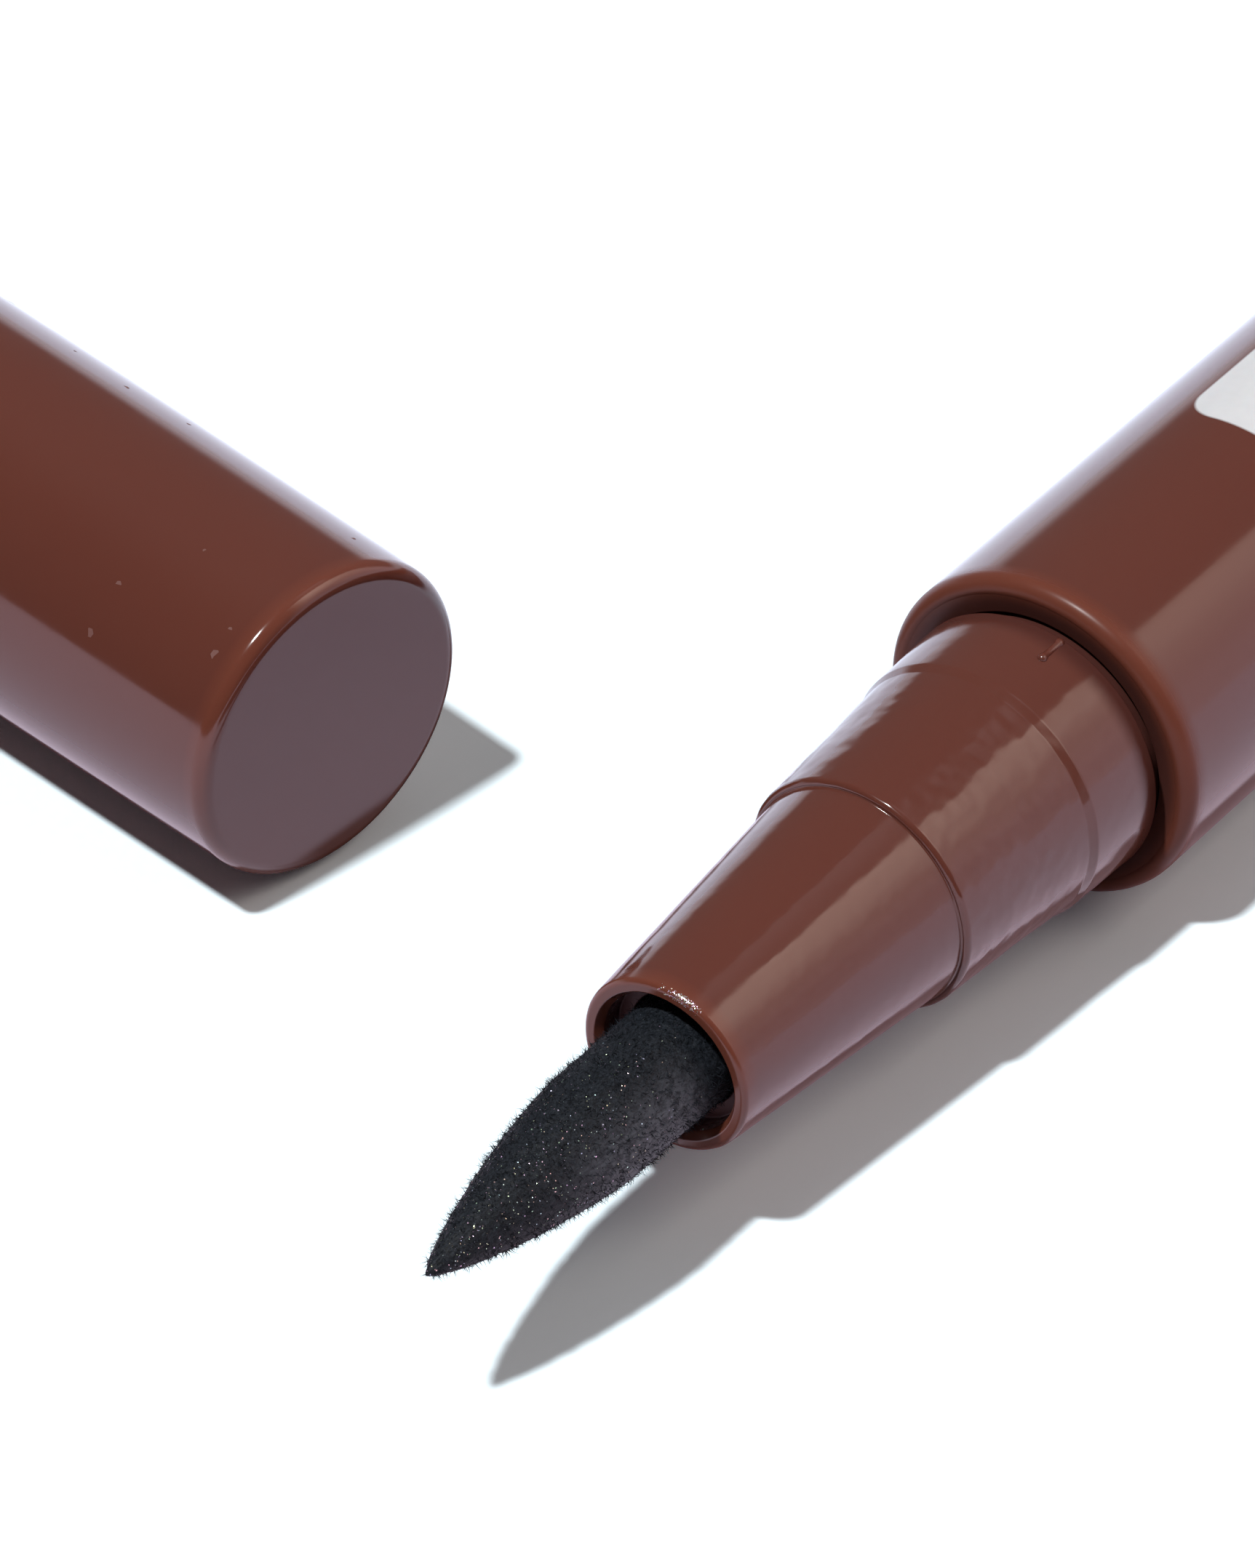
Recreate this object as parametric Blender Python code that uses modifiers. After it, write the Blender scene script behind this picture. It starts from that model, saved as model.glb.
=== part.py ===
"""Felt tip liquid eyeliner, uncapped, with its cap lying beside it on a table.

Metres, +Z up. The pen lies along X with its nib towards -X, and the table is z = 0.
The origin is the centre of the footprint that the pen and the cap share.
Places that end in _X are measured along the pen from the barrel's front face, towards
the tail. Places that end in _S are measured along the cap from its closed end.
"""
import math

import bmesh
import bpy
from mathutils import Matrix, Vector

# Barrel and tail
BARREL_RADIUS = 0.0055
BARREL_LENGTH = 0.088
BARREL_FACE_WIDTH = 0.00097
MOUTH_ROUND = 0.00035
BORE_CHAMFER = 0.0001
SHOULDER_WIDTH = 0.00042
TAIL_HEAD_LENGTH = 0.002
TAIL_EDGE_ROUND = 0.00035
TAIL_STEM_LENGTH = 0.008
TAIL_STEM_WALL = 0.0009
TAIL_RIB_HEIGHT = 0.0002
TAIL_RIB_WIDTH = 0.0008
TAIL_RIB_SHARES = (0.3, 0.65)

# Nozzle: a band, a second band and a tapered collar, then a step, a cone and a lip
BAND_LENGTH = 0.0033
BAND_DRAFT = 0.0001
BAND_STEP = 0.0001
BAND_STEP_LENGTH = 0.00012
SECOND_BAND_LENGTH = 0.0024
SECOND_BAND_DROP = 0.00017
FINE_LINE_WIDTH = 0.00012
FINE_LINE_DEPTH = 0.00003
COLLAR_LENGTH = 0.0093
COLLAR_DROP = 0.00023
STEP_HEIGHT = 0.00022
STEP_ROUND = 0.00014
CONE_LENGTH = 0.00957
CONE_DROP = 0.00084
LIP_ROUND = 0.00018
LIP_BEVEL = 0.00032
LIP_WALL = 0.00055
ROOT_CHAMFER = 0.0003
ROOT_WALL = 0.00083
SNAP_RIB_X = 0.008
SNAP_RIB_WIDTH = 0.001
SNAP_RIB_HEIGHT = 0.00016
CHAMBER_DEPTH = 0.004

# Felt nib and the sleeve round it
NIB_RING_GAP = 0.00052
NIB_STRAIGHT_LENGTH = 0.00331
NIB_POINT_LENGTH = 0.00784
NIB_CURVE_POWER = 1.37
NIB_CURVE_ROOT = 0.75
NIB_POINT_SHARES = (0.12, 0.24, 0.36, 0.48, 0.6, 0.71, 0.81, 0.89, 0.95, 0.985)
NIB_TAIL_INSET = 0.0006
WICK_SOCKET_DEPTH = 0.003
HOLDER_WALL = 0.00082
HOLDER_LENGTH = 0.0107
HOLDER_GROOVE_WIDTH = 0.0006
HOLDER_GROOVE_DEPTH = 0.0004
HOLDER_GROOVES = 6

# Ink path
WICK_RADIUS = 0.0007
FIN_COUNT = 18
FIN_THICKNESS = 0.0004
FIN_GAP = 0.0004
COLLECTOR_CORE_WALL = 0.0008
COLLECTOR_STUB_WALL = 0.0015
COLLECTOR_STUB_LENGTH = 0.0012
COLLECTOR_FLANGE_LENGTH = 0.0012
INK_SLIT_WIDTH = 0.00025
AIR_NOTCH_WIDTH = 0.0014
AIR_NOTCH_DEPTH = 0.0008

# Tank, its plug and the ball
PLUG_NOSE_LENGTH = 0.0008
PLUG_FLANGE_LENGTH = 0.0012
PLUG_BOSS_LENGTH = 0.004
PLUG_CHAMFER = 0.0003
TANK_WALL = 0.0009
TANK_END_WALL = 0.001
BALL_RADIUS = 0.002

# Cap and its liner
CAP_LENGTH = 0.040
CAP_TAPER = 0.000235
CAP_TAPER_LENGTH = 0.024
CAP_SIDE_SHARES = (1.0, 0.75, 0.5, 0.25, 0.08)
CAP_EDGE_ROUND = 0.00035
CAP_RIM_ROUND = 0.00015
CAP_END_WALL = 0.0013
CAP_LINER_LEDGE = 0.0005
LINER_RECESS = 0.00024
LINER_END_WALL = 0.001
LINER_WALL = 0.00083
LINER_SEAL_LENGTH = 0.003
LINER_CHAMFER = 0.00015
NIB_ROOM = 0.00106

# Clearances: round a seated piece, round a loose one, end to end, and round the ball
FIT_GAP = 0.00008
LOOSE_GAP = 0.00012
SEAT_GAP = 0.0003
RIM_GAP = 0.0001
BALL_GAP = 0.0001
CAP_STANDOFF = 0.003

# Where the cap's closed end lies from the barrel's front face, and the way it points
CAP_END_X = -0.0122
CAP_END_Y = 0.01728
CAP_YAW = math.radians(81.03)

# Facets round a turned piece, and along a rounded edge
OUTER_FACETS = 36
INNER_FACETS = 24
BALL_RINGS = 14
FINE_ARC = 4
COARSE_ARC = 3
SHARP_ANGLE = math.radians(32)
MERGE_DISTANCE = 0.000001
CUT_OVERRUN = 0.0005

# Sizes and places that follow, from the barrel inwards and to the tip
ROOT_RADIUS = BARREL_RADIUS - BARREL_FACE_WIDTH
ROOT_BORE_RADIUS = ROOT_RADIUS + FIT_GAP
BARREL_BORE_RADIUS = ROOT_BORE_RADIUS - SHOULDER_WIDTH
CHAMBER_RADIUS = ROOT_RADIUS - ROOT_WALL
CHAMBER_X = -CHAMBER_DEPTH
BAND_END_RADIUS = ROOT_RADIUS - BAND_DRAFT
SECOND_BAND_RADIUS = BAND_END_RADIUS - BAND_STEP
SECOND_BAND_X = -BAND_LENGTH - BAND_STEP_LENGTH
FINE_LINE_X = SECOND_BAND_X - SECOND_BAND_LENGTH
COLLAR_RADIUS = SECOND_BAND_RADIUS - SECOND_BAND_DROP
STEP_X = -COLLAR_LENGTH
STEP_RADIUS = COLLAR_RADIUS - COLLAR_DROP
CONE_RADIUS = STEP_RADIUS - STEP_HEIGHT
LIP_X = STEP_X - CONE_LENGTH
LIP_RADIUS = CONE_RADIUS - CONE_DROP
MOUTH_BORE_RADIUS = LIP_RADIUS - LIP_WALL

NIB_RADIUS = MOUTH_BORE_RADIUS - NIB_RING_GAP
NIB_SHOULDER_X = LIP_X - NIB_STRAIGHT_LENGTH
TIP_X = NIB_SHOULDER_X - NIB_POINT_LENGTH
HOLDER_BORE_RADIUS = NIB_RADIUS + FIT_GAP
HOLDER_RADIUS = HOLDER_BORE_RADIUS + HOLDER_WALL
HOLDER_SEAT_RADIUS = HOLDER_RADIUS + FIT_GAP
HOLDER_END_X = CHAMBER_X - SEAT_GAP
HOLDER_FRONT_X = HOLDER_END_X - HOLDER_LENGTH
HOLDER_SEAT_X = HOLDER_FRONT_X - SEAT_GAP
NIB_TAIL_X = HOLDER_END_X - NIB_TAIL_INSET
WICK_SOCKET_X = NIB_TAIL_X - WICK_SOCKET_DEPTH
WICK_BORE_RADIUS = WICK_RADIUS + FIT_GAP
WICK_FRONT_X = WICK_SOCKET_X + SEAT_GAP

FIN_RADIUS = CHAMBER_RADIUS - LOOSE_GAP
FIN_PITCH = FIN_THICKNESS + FIN_GAP
COLLECTOR_CORE_RADIUS = WICK_BORE_RADIUS + COLLECTOR_CORE_WALL
COLLECTOR_STUB_RADIUS = WICK_BORE_RADIUS + COLLECTOR_STUB_WALL
COLLECTOR_FRONT_X = CHAMBER_X + SEAT_GAP
FINS_X = COLLECTOR_FRONT_X + COLLECTOR_STUB_LENGTH
FLANGE_X = FINS_X + FIN_COUNT * FIN_PITCH
COLLECTOR_END_X = FLANGE_X + COLLECTOR_FLANGE_LENGTH

PLUG_FRONT_X = COLLECTOR_END_X + SEAT_GAP
PLUG_FLANGE_X = PLUG_FRONT_X + PLUG_NOSE_LENGTH
ROOT_END_X = PLUG_FLANGE_X - RIM_GAP
PLUG_BOSS_X = PLUG_FLANGE_X + PLUG_FLANGE_LENGTH
PLUG_END_X = PLUG_BOSS_X + PLUG_BOSS_LENGTH
BARREL_SHOULDER_X = PLUG_BOSS_X + SEAT_GAP
TANK_RADIUS = BARREL_BORE_RADIUS - FIT_GAP
TANK_BORE_RADIUS = TANK_RADIUS - TANK_WALL
TANK_MOUTH_X = PLUG_BOSS_X + RIM_GAP

# The ball has as much travel in the tank as the cap has from the nib to the barrel
TRAVEL = CAP_STANDOFF - TIP_X
BALL_X = PLUG_END_X + BALL_GAP + BALL_RADIUS
TANK_FLOOR_X = BALL_X + TRAVEL + BALL_RADIUS + BALL_GAP
TANK_END_X = TANK_FLOOR_X + TANK_END_WALL
BALL_DROP = TANK_BORE_RADIUS * math.cos(math.pi / INNER_FACETS) - BALL_RADIUS - BALL_GAP / 2

TAIL_HEAD_X = BARREL_LENGTH + FIT_GAP
TAIL_END_X = TAIL_HEAD_X + TAIL_HEAD_LENGTH
TAIL_STEM_X = TAIL_HEAD_X - TAIL_STEM_LENGTH
TAIL_RIB_RADIUS = BARREL_BORE_RADIUS - FIT_GAP
TAIL_STEM_RADIUS = TAIL_RIB_RADIUS - TAIL_RIB_HEIGHT
TAIL_CUP_RADIUS = TAIL_STEM_RADIUS - TAIL_STEM_WALL

# The cap as it sits on the pen: its rim a hair in front of the barrel's face
CAP_ON_S = CAP_LENGTH + RIM_GAP
CAP_BORE_RADIUS = ROOT_RADIUS + LOOSE_GAP
CAP_LINER_RADIUS = CAP_BORE_RADIUS - LINER_RECESS
CAP_END_BORE_RADIUS = CAP_LINER_RADIUS - CAP_LINER_LEDGE
LINER_RADIUS = CAP_LINER_RADIUS - FIT_GAP
LINER_BORE_RADIUS = LINER_RADIUS - LINER_WALL
LINER_MOUTH_RADIUS = CONE_RADIUS + FIT_GAP
LINER_MOUTH_S = CAP_ON_S + STEP_X - SEAT_GAP
LINER_FLOOR_S = CAP_ON_S + TIP_X - NIB_ROOM
LINER_END_S = LINER_FLOOR_S - LINER_END_WALL
LINER_LEDGE_S = LINER_END_S - SEAT_GAP
CAP_BORE_S = LINER_MOUTH_S + SEAT_GAP

# The centre of the shared footprint is the origin, and both pieces lie on the table
CAP_WAY = Vector((math.cos(CAP_YAW), math.sin(CAP_YAW), 0))
CAP_FAR_Y = CAP_END_Y + CAP_LENGTH * CAP_WAY.y + (BARREL_RADIUS - CAP_RIM_ROUND) * CAP_WAY.x
PEN_PLACE = Vector((-(TIP_X + TAIL_END_X) / 2, -(CAP_FAR_Y - BARREL_RADIUS) / 2, BARREL_RADIUS))
CAP_PLACE = PEN_PLACE + Vector((CAP_END_X, CAP_END_Y, 0))

# An upright axis that swings the cap round into line in front of the nib
IN_LINE_PLACE = PEN_PLACE + Vector((-TRAVEL - CAP_ON_S, 0, 0))
SWING_ANGLE = 2 * math.pi - CAP_YAW
SWING_CHORD = IN_LINE_PLACE - CAP_PLACE
SWING_SIDE = Vector((-SWING_CHORD.y, SWING_CHORD.x, 0)) / (2 * math.tan(SWING_ANGLE / 2))
SWING_PLACE = (CAP_PLACE + IN_LINE_PLACE) / 2 + SWING_SIDE

ALONG_X = Matrix.Rotation(math.pi / 2, 4, "Y")
ALONG_CAP = Matrix.Rotation(CAP_YAW, 4, "Z") @ ALONG_X


def clear_scene():
    for obj in list(bpy.data.objects):
        bpy.data.objects.remove(obj, do_unlink=True)


def make_collection(name):
    collection = bpy.data.collections.new(name)
    bpy.context.scene.collection.children.link(collection)
    return collection


def make_material(name, colour, roughness, metallic):
    material = bpy.data.materials.new(name)
    material.use_nodes = True
    shader = material.node_tree.nodes["Principled BSDF"]
    shader.inputs["Base Color"].default_value = (*colour, 1)
    shader.inputs["Roughness"].default_value = roughness
    shader.inputs["Metallic"].default_value = metallic
    return material


def brown_plastic():
    return make_material("brown_plastic", (0.105, 0.033, 0.023), 0.16, 0.0)


def ink_felt():
    return make_material("ink_felt", (0.014, 0.017, 0.026), 0.75, 0.0)


def natural_plastic():
    return make_material("natural_plastic", (0.72, 0.72, 0.69), 0.4, 0.0)


def comb_plastic():
    return make_material("comb_plastic", (0.5, 0.5, 0.48), 0.35, 0.0)


def wick_fibre():
    return make_material("wick_fibre", (0.2, 0.19, 0.19), 0.85, 0.0)


def ball_steel():
    return make_material("ball_steel", (0.6, 0.6, 0.61), 0.12, 1.0)


def round_edge(middle_radius, middle_place, size, start, end, count):
    """Points along a rounded edge, as (radius, place); degrees from straight outwards."""
    points = []
    for number in range(count + 1):
        angle = math.radians(start + (end - start) * number / count)
        radius = middle_radius + size * math.cos(angle)
        points.append((radius, middle_place + size * math.sin(angle)))
    return points


def turned(name, profile, facets, material, hollow):
    """Spins a profile of (radius, place) about Z; it runs down the piece's outer side.

    The profile of a piece that is open right through is hollow: it is a closed loop.
    """
    mesh = bpy.data.meshes.new(name)
    points = [(radius, 0, place) for radius, place in profile]
    edges = [(number, number + 1) for number in range(len(points) - 1)]
    if hollow:
        edges.append((len(points) - 1, 0))
    mesh.from_pydata(points, edges, [])
    mesh.materials.append(material)
    obj = bpy.data.objects.new(name, mesh)
    spin = obj.modifiers.new("spin", "SCREW")
    spin.axis = "Z"
    spin.angle = 2 * math.pi
    spin.steps = facets
    spin.render_steps = facets
    spin.use_merge_vertices = True
    spin.merge_threshold = MERGE_DISTANCE
    return obj


def lay_on_pen(obj, collection):
    collection.objects.link(obj)
    obj.matrix_world = Matrix.Translation(PEN_PLACE) @ ALONG_X


def hang_on_pivot(obj, collection, pivot):
    """Lays a piece of the cap, with its parent on the upright axis that swings it."""
    collection.objects.link(obj)
    obj.parent = pivot
    obj.location = CAP_PLACE - SWING_PLACE
    obj.rotation_euler = ALONG_CAP.to_euler()


def pen_cutter(name, size, place, angle, cutters):
    """A box that is placed in a turned piece's frame, and turned about the pen's axis."""
    mesh = bpy.data.meshes.new(name)
    shape = bmesh.new()
    bmesh.ops.create_cube(shape, size=1)
    bmesh.ops.scale(shape, vec=size, verts=shape.verts)
    bmesh.ops.translate(shape, vec=place, verts=shape.verts)
    bmesh.ops.rotate(shape, matrix=Matrix.Rotation(angle, 3, "Z"), verts=shape.verts)
    shape.to_mesh(mesh)
    shape.free()
    cutter = bpy.data.objects.new(name, mesh)
    lay_on_pen(cutter, cutters)
    cutter.hide_render = True
    cutter.display_type = "WIRE"
    return cutter


def cut(obj, cutter):
    difference = obj.modifiers.new(cutter.name, "BOOLEAN")
    difference.operation = "DIFFERENCE"
    difference.solver = "EXACT"
    difference.object = cutter


def make_barrel(material):
    """Open tube: a rounded mouth, a bore for the nozzle's root and one for the tank."""
    groove_radius = ROOT_BORE_RADIUS + SNAP_RIB_HEIGHT
    groove_half = SNAP_RIB_WIDTH / 2 + LOOSE_GAP
    profile = [
        (BARREL_RADIUS - BORE_CHAMFER, BARREL_LENGTH),
        (BARREL_RADIUS, BARREL_LENGTH - BORE_CHAMFER),
    ]
    profile += round_edge(
        BARREL_RADIUS - MOUTH_ROUND, MOUTH_ROUND, MOUTH_ROUND, 0, -90, FINE_ARC
    )
    profile += [
        (ROOT_BORE_RADIUS + BORE_CHAMFER, 0),
        (ROOT_BORE_RADIUS, BORE_CHAMFER),
        (ROOT_BORE_RADIUS, SNAP_RIB_X - groove_half),
        (groove_radius, SNAP_RIB_X - groove_half + SNAP_RIB_HEIGHT),
        (groove_radius, SNAP_RIB_X + groove_half - SNAP_RIB_HEIGHT),
        (ROOT_BORE_RADIUS, SNAP_RIB_X + groove_half),
        (ROOT_BORE_RADIUS, BARREL_SHOULDER_X),
        (BARREL_BORE_RADIUS, BARREL_SHOULDER_X),
        (BARREL_BORE_RADIUS, BARREL_LENGTH),
    ]
    return turned("barrel", profile, OUTER_FACETS, material, hollow=True)


def make_tail_plug(material):
    """Head as wide as the barrel, and a hollow stem with two sealing ribs."""
    profile = [(0, TAIL_END_X)]
    profile += round_edge(
        BARREL_RADIUS - TAIL_EDGE_ROUND,
        TAIL_END_X - TAIL_EDGE_ROUND,
        TAIL_EDGE_ROUND,
        90,
        0,
        FINE_ARC,
    )
    profile += [
        (BARREL_RADIUS, TAIL_HEAD_X + BORE_CHAMFER),
        (BARREL_RADIUS - BORE_CHAMFER, TAIL_HEAD_X),
        (TAIL_STEM_RADIUS, TAIL_HEAD_X),
    ]
    for share in TAIL_RIB_SHARES:
        rib_x = TAIL_HEAD_X - share * TAIL_STEM_LENGTH
        profile += [
            (TAIL_STEM_RADIUS, rib_x + TAIL_RIB_WIDTH / 2),
            (TAIL_RIB_RADIUS, rib_x),
            (TAIL_STEM_RADIUS, rib_x - TAIL_RIB_WIDTH / 2),
        ]
    profile += [
        (TAIL_STEM_RADIUS, TAIL_STEM_X + PLUG_CHAMFER),
        (TAIL_STEM_RADIUS - PLUG_CHAMFER, TAIL_STEM_X),
        (TAIL_CUP_RADIUS, TAIL_STEM_X),
        (TAIL_CUP_RADIUS, TAIL_HEAD_X),
        (0, TAIL_HEAD_X),
    ]
    return turned("tail_plug", profile, OUTER_FACETS, material, hollow=False)


def make_nozzle(material):
    """Root with a snap rib, banded collar, step, cone and rounded lip, bored through."""
    rib_radius = ROOT_RADIUS + SNAP_RIB_HEIGHT
    rib_half = SNAP_RIB_WIDTH / 2
    line_depth_radius = COLLAR_RADIUS - FINE_LINE_DEPTH
    profile = [
        (ROOT_RADIUS - ROOT_CHAMFER, ROOT_END_X),
        (ROOT_RADIUS, ROOT_END_X - ROOT_CHAMFER),
        (ROOT_RADIUS, SNAP_RIB_X + rib_half),
        (rib_radius, SNAP_RIB_X + rib_half - SNAP_RIB_HEIGHT),
        (rib_radius, SNAP_RIB_X - rib_half + SNAP_RIB_HEIGHT),
        (ROOT_RADIUS, SNAP_RIB_X - rib_half),
        (ROOT_RADIUS, 0),
        (BAND_END_RADIUS, -BAND_LENGTH),
        (SECOND_BAND_RADIUS, SECOND_BAND_X),
        (COLLAR_RADIUS, FINE_LINE_X),
        (line_depth_radius, FINE_LINE_X - FINE_LINE_WIDTH / 2),
        (COLLAR_RADIUS, FINE_LINE_X - FINE_LINE_WIDTH),
    ]
    profile += round_edge(
        STEP_RADIUS - STEP_ROUND, STEP_X + STEP_ROUND, STEP_ROUND, 0, -90, COARSE_ARC
    )
    profile.append((CONE_RADIUS, STEP_X))
    profile += round_edge(
        LIP_RADIUS - LIP_ROUND, LIP_X + LIP_ROUND, LIP_ROUND, 0, -90, COARSE_ARC
    )
    profile += [
        (MOUTH_BORE_RADIUS, LIP_X + LIP_BEVEL),
        (MOUTH_BORE_RADIUS, HOLDER_SEAT_X),
        (HOLDER_SEAT_RADIUS, HOLDER_SEAT_X),
        (HOLDER_SEAT_RADIUS, CHAMBER_X),
        (CHAMBER_RADIUS, CHAMBER_X),
        (CHAMBER_RADIUS, ROOT_END_X),
    ]
    return turned("nozzle", profile, OUTER_FACETS, material, hollow=True)


def nib_radius(share):
    """The nib's bullet curve, from its shoulder at 0 to its tip at 1."""
    return NIB_RADIUS * (1 - share**NIB_CURVE_POWER) ** NIB_CURVE_ROOT


def make_nib(material):
    """Felt rod with a bullet point, and a socket in its rear end for the wick."""
    profile = [
        (0, WICK_SOCKET_X),
        (WICK_BORE_RADIUS, WICK_SOCKET_X),
        (WICK_BORE_RADIUS, NIB_TAIL_X),
        (NIB_RADIUS, NIB_TAIL_X),
        (NIB_RADIUS, NIB_SHOULDER_X),
    ]
    for share in NIB_POINT_SHARES:
        profile.append((nib_radius(share), NIB_SHOULDER_X - share * NIB_POINT_LENGTH))
    profile.append((0, TIP_X))
    return turned("nib", profile, OUTER_FACETS, material, hollow=False)


def make_nib_holder(material, cutters):
    """Sleeve that centres the nib, with grooves along it that let air back in."""
    profile = [
        (HOLDER_RADIUS, HOLDER_END_X),
        (HOLDER_RADIUS, HOLDER_FRONT_X),
        (HOLDER_BORE_RADIUS, HOLDER_FRONT_X),
        (HOLDER_BORE_RADIUS, HOLDER_END_X),
    ]
    holder = turned("nib_holder", profile, INNER_FACETS, material, hollow=True)
    depth = HOLDER_GROOVE_DEPTH + CUT_OVERRUN
    size = (depth, HOLDER_GROOVE_WIDTH, HOLDER_LENGTH + 2 * CUT_OVERRUN)
    middle_x = (HOLDER_FRONT_X + HOLDER_END_X) / 2
    place = (HOLDER_RADIUS - HOLDER_GROOVE_DEPTH + depth / 2, 0, middle_x)
    for number in range(HOLDER_GROOVES):
        angle = 2 * math.pi * number / HOLDER_GROOVES
        cut(holder, pen_cutter(f"air_groove_{number + 1}", size, place, angle, cutters))
    return holder


def make_wick(material):
    profile = [
        (0, PLUG_END_X),
        (WICK_RADIUS, PLUG_END_X),
        (WICK_RADIUS, WICK_FRONT_X),
        (0, WICK_FRONT_X),
    ]
    return turned("wick", profile, INNER_FACETS, material, hollow=False)


def comb_profile():
    """Rear flange, then the fins from the rear to the front, then the front stub."""
    profile = [
        (WICK_BORE_RADIUS, COLLECTOR_END_X),
        (FIN_RADIUS, COLLECTOR_END_X),
        (FIN_RADIUS, FLANGE_X),
        (COLLECTOR_CORE_RADIUS, FLANGE_X),
    ]
    for number in reversed(range(FIN_COUNT)):
        fin_x = FINS_X + number * FIN_PITCH
        foot_radius = COLLECTOR_CORE_RADIUS if number else COLLECTOR_STUB_RADIUS
        profile += [
            (COLLECTOR_CORE_RADIUS, fin_x + FIN_THICKNESS),
            (FIN_RADIUS, fin_x + FIN_THICKNESS),
            (FIN_RADIUS, fin_x),
            (foot_radius, fin_x),
        ]
    profile += [
        (COLLECTOR_STUB_RADIUS, COLLECTOR_FRONT_X),
        (WICK_BORE_RADIUS, COLLECTOR_FRONT_X),
    ]
    return profile


def make_collector(material, cutters):
    """Comb of thin fins: an ink slit down to the wick on top, an air notch below."""
    collector = turned("collector", comb_profile(), INNER_FACETS, material, hollow=True)
    slit_start_x = FINS_X + FIN_THICKNESS + FIN_GAP / 2
    slit_end_x = COLLECTOR_END_X + CUT_OVERRUN
    slit_reach = FIN_RADIUS + CUT_OVERRUN
    slit_size = (slit_reach, INK_SLIT_WIDTH, slit_end_x - slit_start_x)
    slit_place = (-slit_reach / 2, 0, (slit_start_x + slit_end_x) / 2)
    cut(collector, pen_cutter("ink_slit", slit_size, slit_place, 0, cutters))
    notch_length = FIN_COUNT * FIN_PITCH
    notch_depth = AIR_NOTCH_DEPTH + CUT_OVERRUN
    notch_size = (notch_depth, AIR_NOTCH_WIDTH, notch_length)
    notch_x = FINS_X + (notch_length - FIN_GAP) / 2
    notch_place = (FIN_RADIUS - AIR_NOTCH_DEPTH + notch_depth / 2, 0, notch_x)
    cut(collector, pen_cutter("air_notch", notch_size, notch_place, 0, cutters))
    return collector


def make_tank_plug(material):
    """Nose in the nozzle's root, flange before the barrel's shoulder, boss in the tank."""
    nose_radius = CHAMBER_RADIUS - LOOSE_GAP
    flange_radius = ROOT_BORE_RADIUS - LOOSE_GAP
    boss_radius = TANK_BORE_RADIUS - FIT_GAP
    profile = [
        (WICK_BORE_RADIUS, PLUG_END_X),
        (boss_radius - PLUG_CHAMFER, PLUG_END_X),
        (boss_radius, PLUG_END_X - PLUG_CHAMFER),
        (boss_radius, PLUG_BOSS_X),
        (flange_radius, PLUG_BOSS_X),
        (flange_radius, PLUG_FLANGE_X),
        (nose_radius, PLUG_FLANGE_X),
        (nose_radius, PLUG_FRONT_X),
        (WICK_BORE_RADIUS, PLUG_FRONT_X),
    ]
    return turned("tank_plug", profile, INNER_FACETS, material, hollow=True)


def make_ink_tank(material):
    """Thin tube that is pressed over the plug's boss, with a closed rear end."""
    profile = [
        (0, TANK_END_X),
        (TANK_RADIUS - PLUG_CHAMFER, TANK_END_X),
        (TANK_RADIUS, TANK_END_X - PLUG_CHAMFER),
        (TANK_RADIUS, TANK_MOUTH_X),
        (TANK_BORE_RADIUS, TANK_MOUTH_X),
        (TANK_BORE_RADIUS, TANK_FLOOR_X),
        (0, TANK_FLOOR_X),
    ]
    return turned("ink_tank", profile, INNER_FACETS, material, hollow=False)


def make_mixing_ball(material, collection):
    """Steel ball, resting at the bottom of the tank next to the plug."""
    mesh = bpy.data.meshes.new("mixing_ball")
    shape = bmesh.new()
    bmesh.ops.create_uvsphere(
        shape, u_segments=INNER_FACETS, v_segments=BALL_RINGS, radius=BALL_RADIUS
    )
    shape.to_mesh(mesh)
    shape.free()
    mesh.materials.append(material)
    ball = bpy.data.objects.new("mixing_ball", mesh)
    collection.objects.link(ball)
    ball.location = PEN_PLACE + Vector((BALL_X, 0, -BALL_DROP))
    return ball


def cap_radius(place_s):
    """Outside of the cap: straight from its mouth, drawn in gently at the closed end."""
    share = max(0, 1 - place_s / CAP_TAPER_LENGTH)
    return BARREL_RADIUS - CAP_TAPER * share**2


def make_cap_shell(material):
    """Cap with a flat closed end, a seat for the liner and a wider bore at its mouth."""
    profile = [
        (0, CAP_END_WALL),
        (CAP_END_BORE_RADIUS, CAP_END_WALL),
        (CAP_END_BORE_RADIUS, LINER_LEDGE_S),
        (CAP_LINER_RADIUS, LINER_LEDGE_S),
        (CAP_LINER_RADIUS, CAP_BORE_S),
        (CAP_BORE_RADIUS, CAP_BORE_S),
        (CAP_BORE_RADIUS, CAP_LENGTH - CAP_RIM_ROUND),
        (CAP_BORE_RADIUS + CAP_RIM_ROUND, CAP_LENGTH),
        (BARREL_RADIUS - CAP_RIM_ROUND, CAP_LENGTH),
        (BARREL_RADIUS, CAP_LENGTH - CAP_RIM_ROUND),
    ]
    for share in CAP_SIDE_SHARES:
        side_s = share * CAP_TAPER_LENGTH
        profile.append((cap_radius(side_s), side_s))
    profile += round_edge(
        cap_radius(CAP_EDGE_ROUND) - CAP_EDGE_ROUND,
        CAP_EDGE_ROUND,
        CAP_EDGE_ROUND,
        0,
        -90,
        FINE_ARC,
    )
    profile.append((0, 0))
    return turned("cap_shell", profile, OUTER_FACETS, material, hollow=False)


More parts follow.
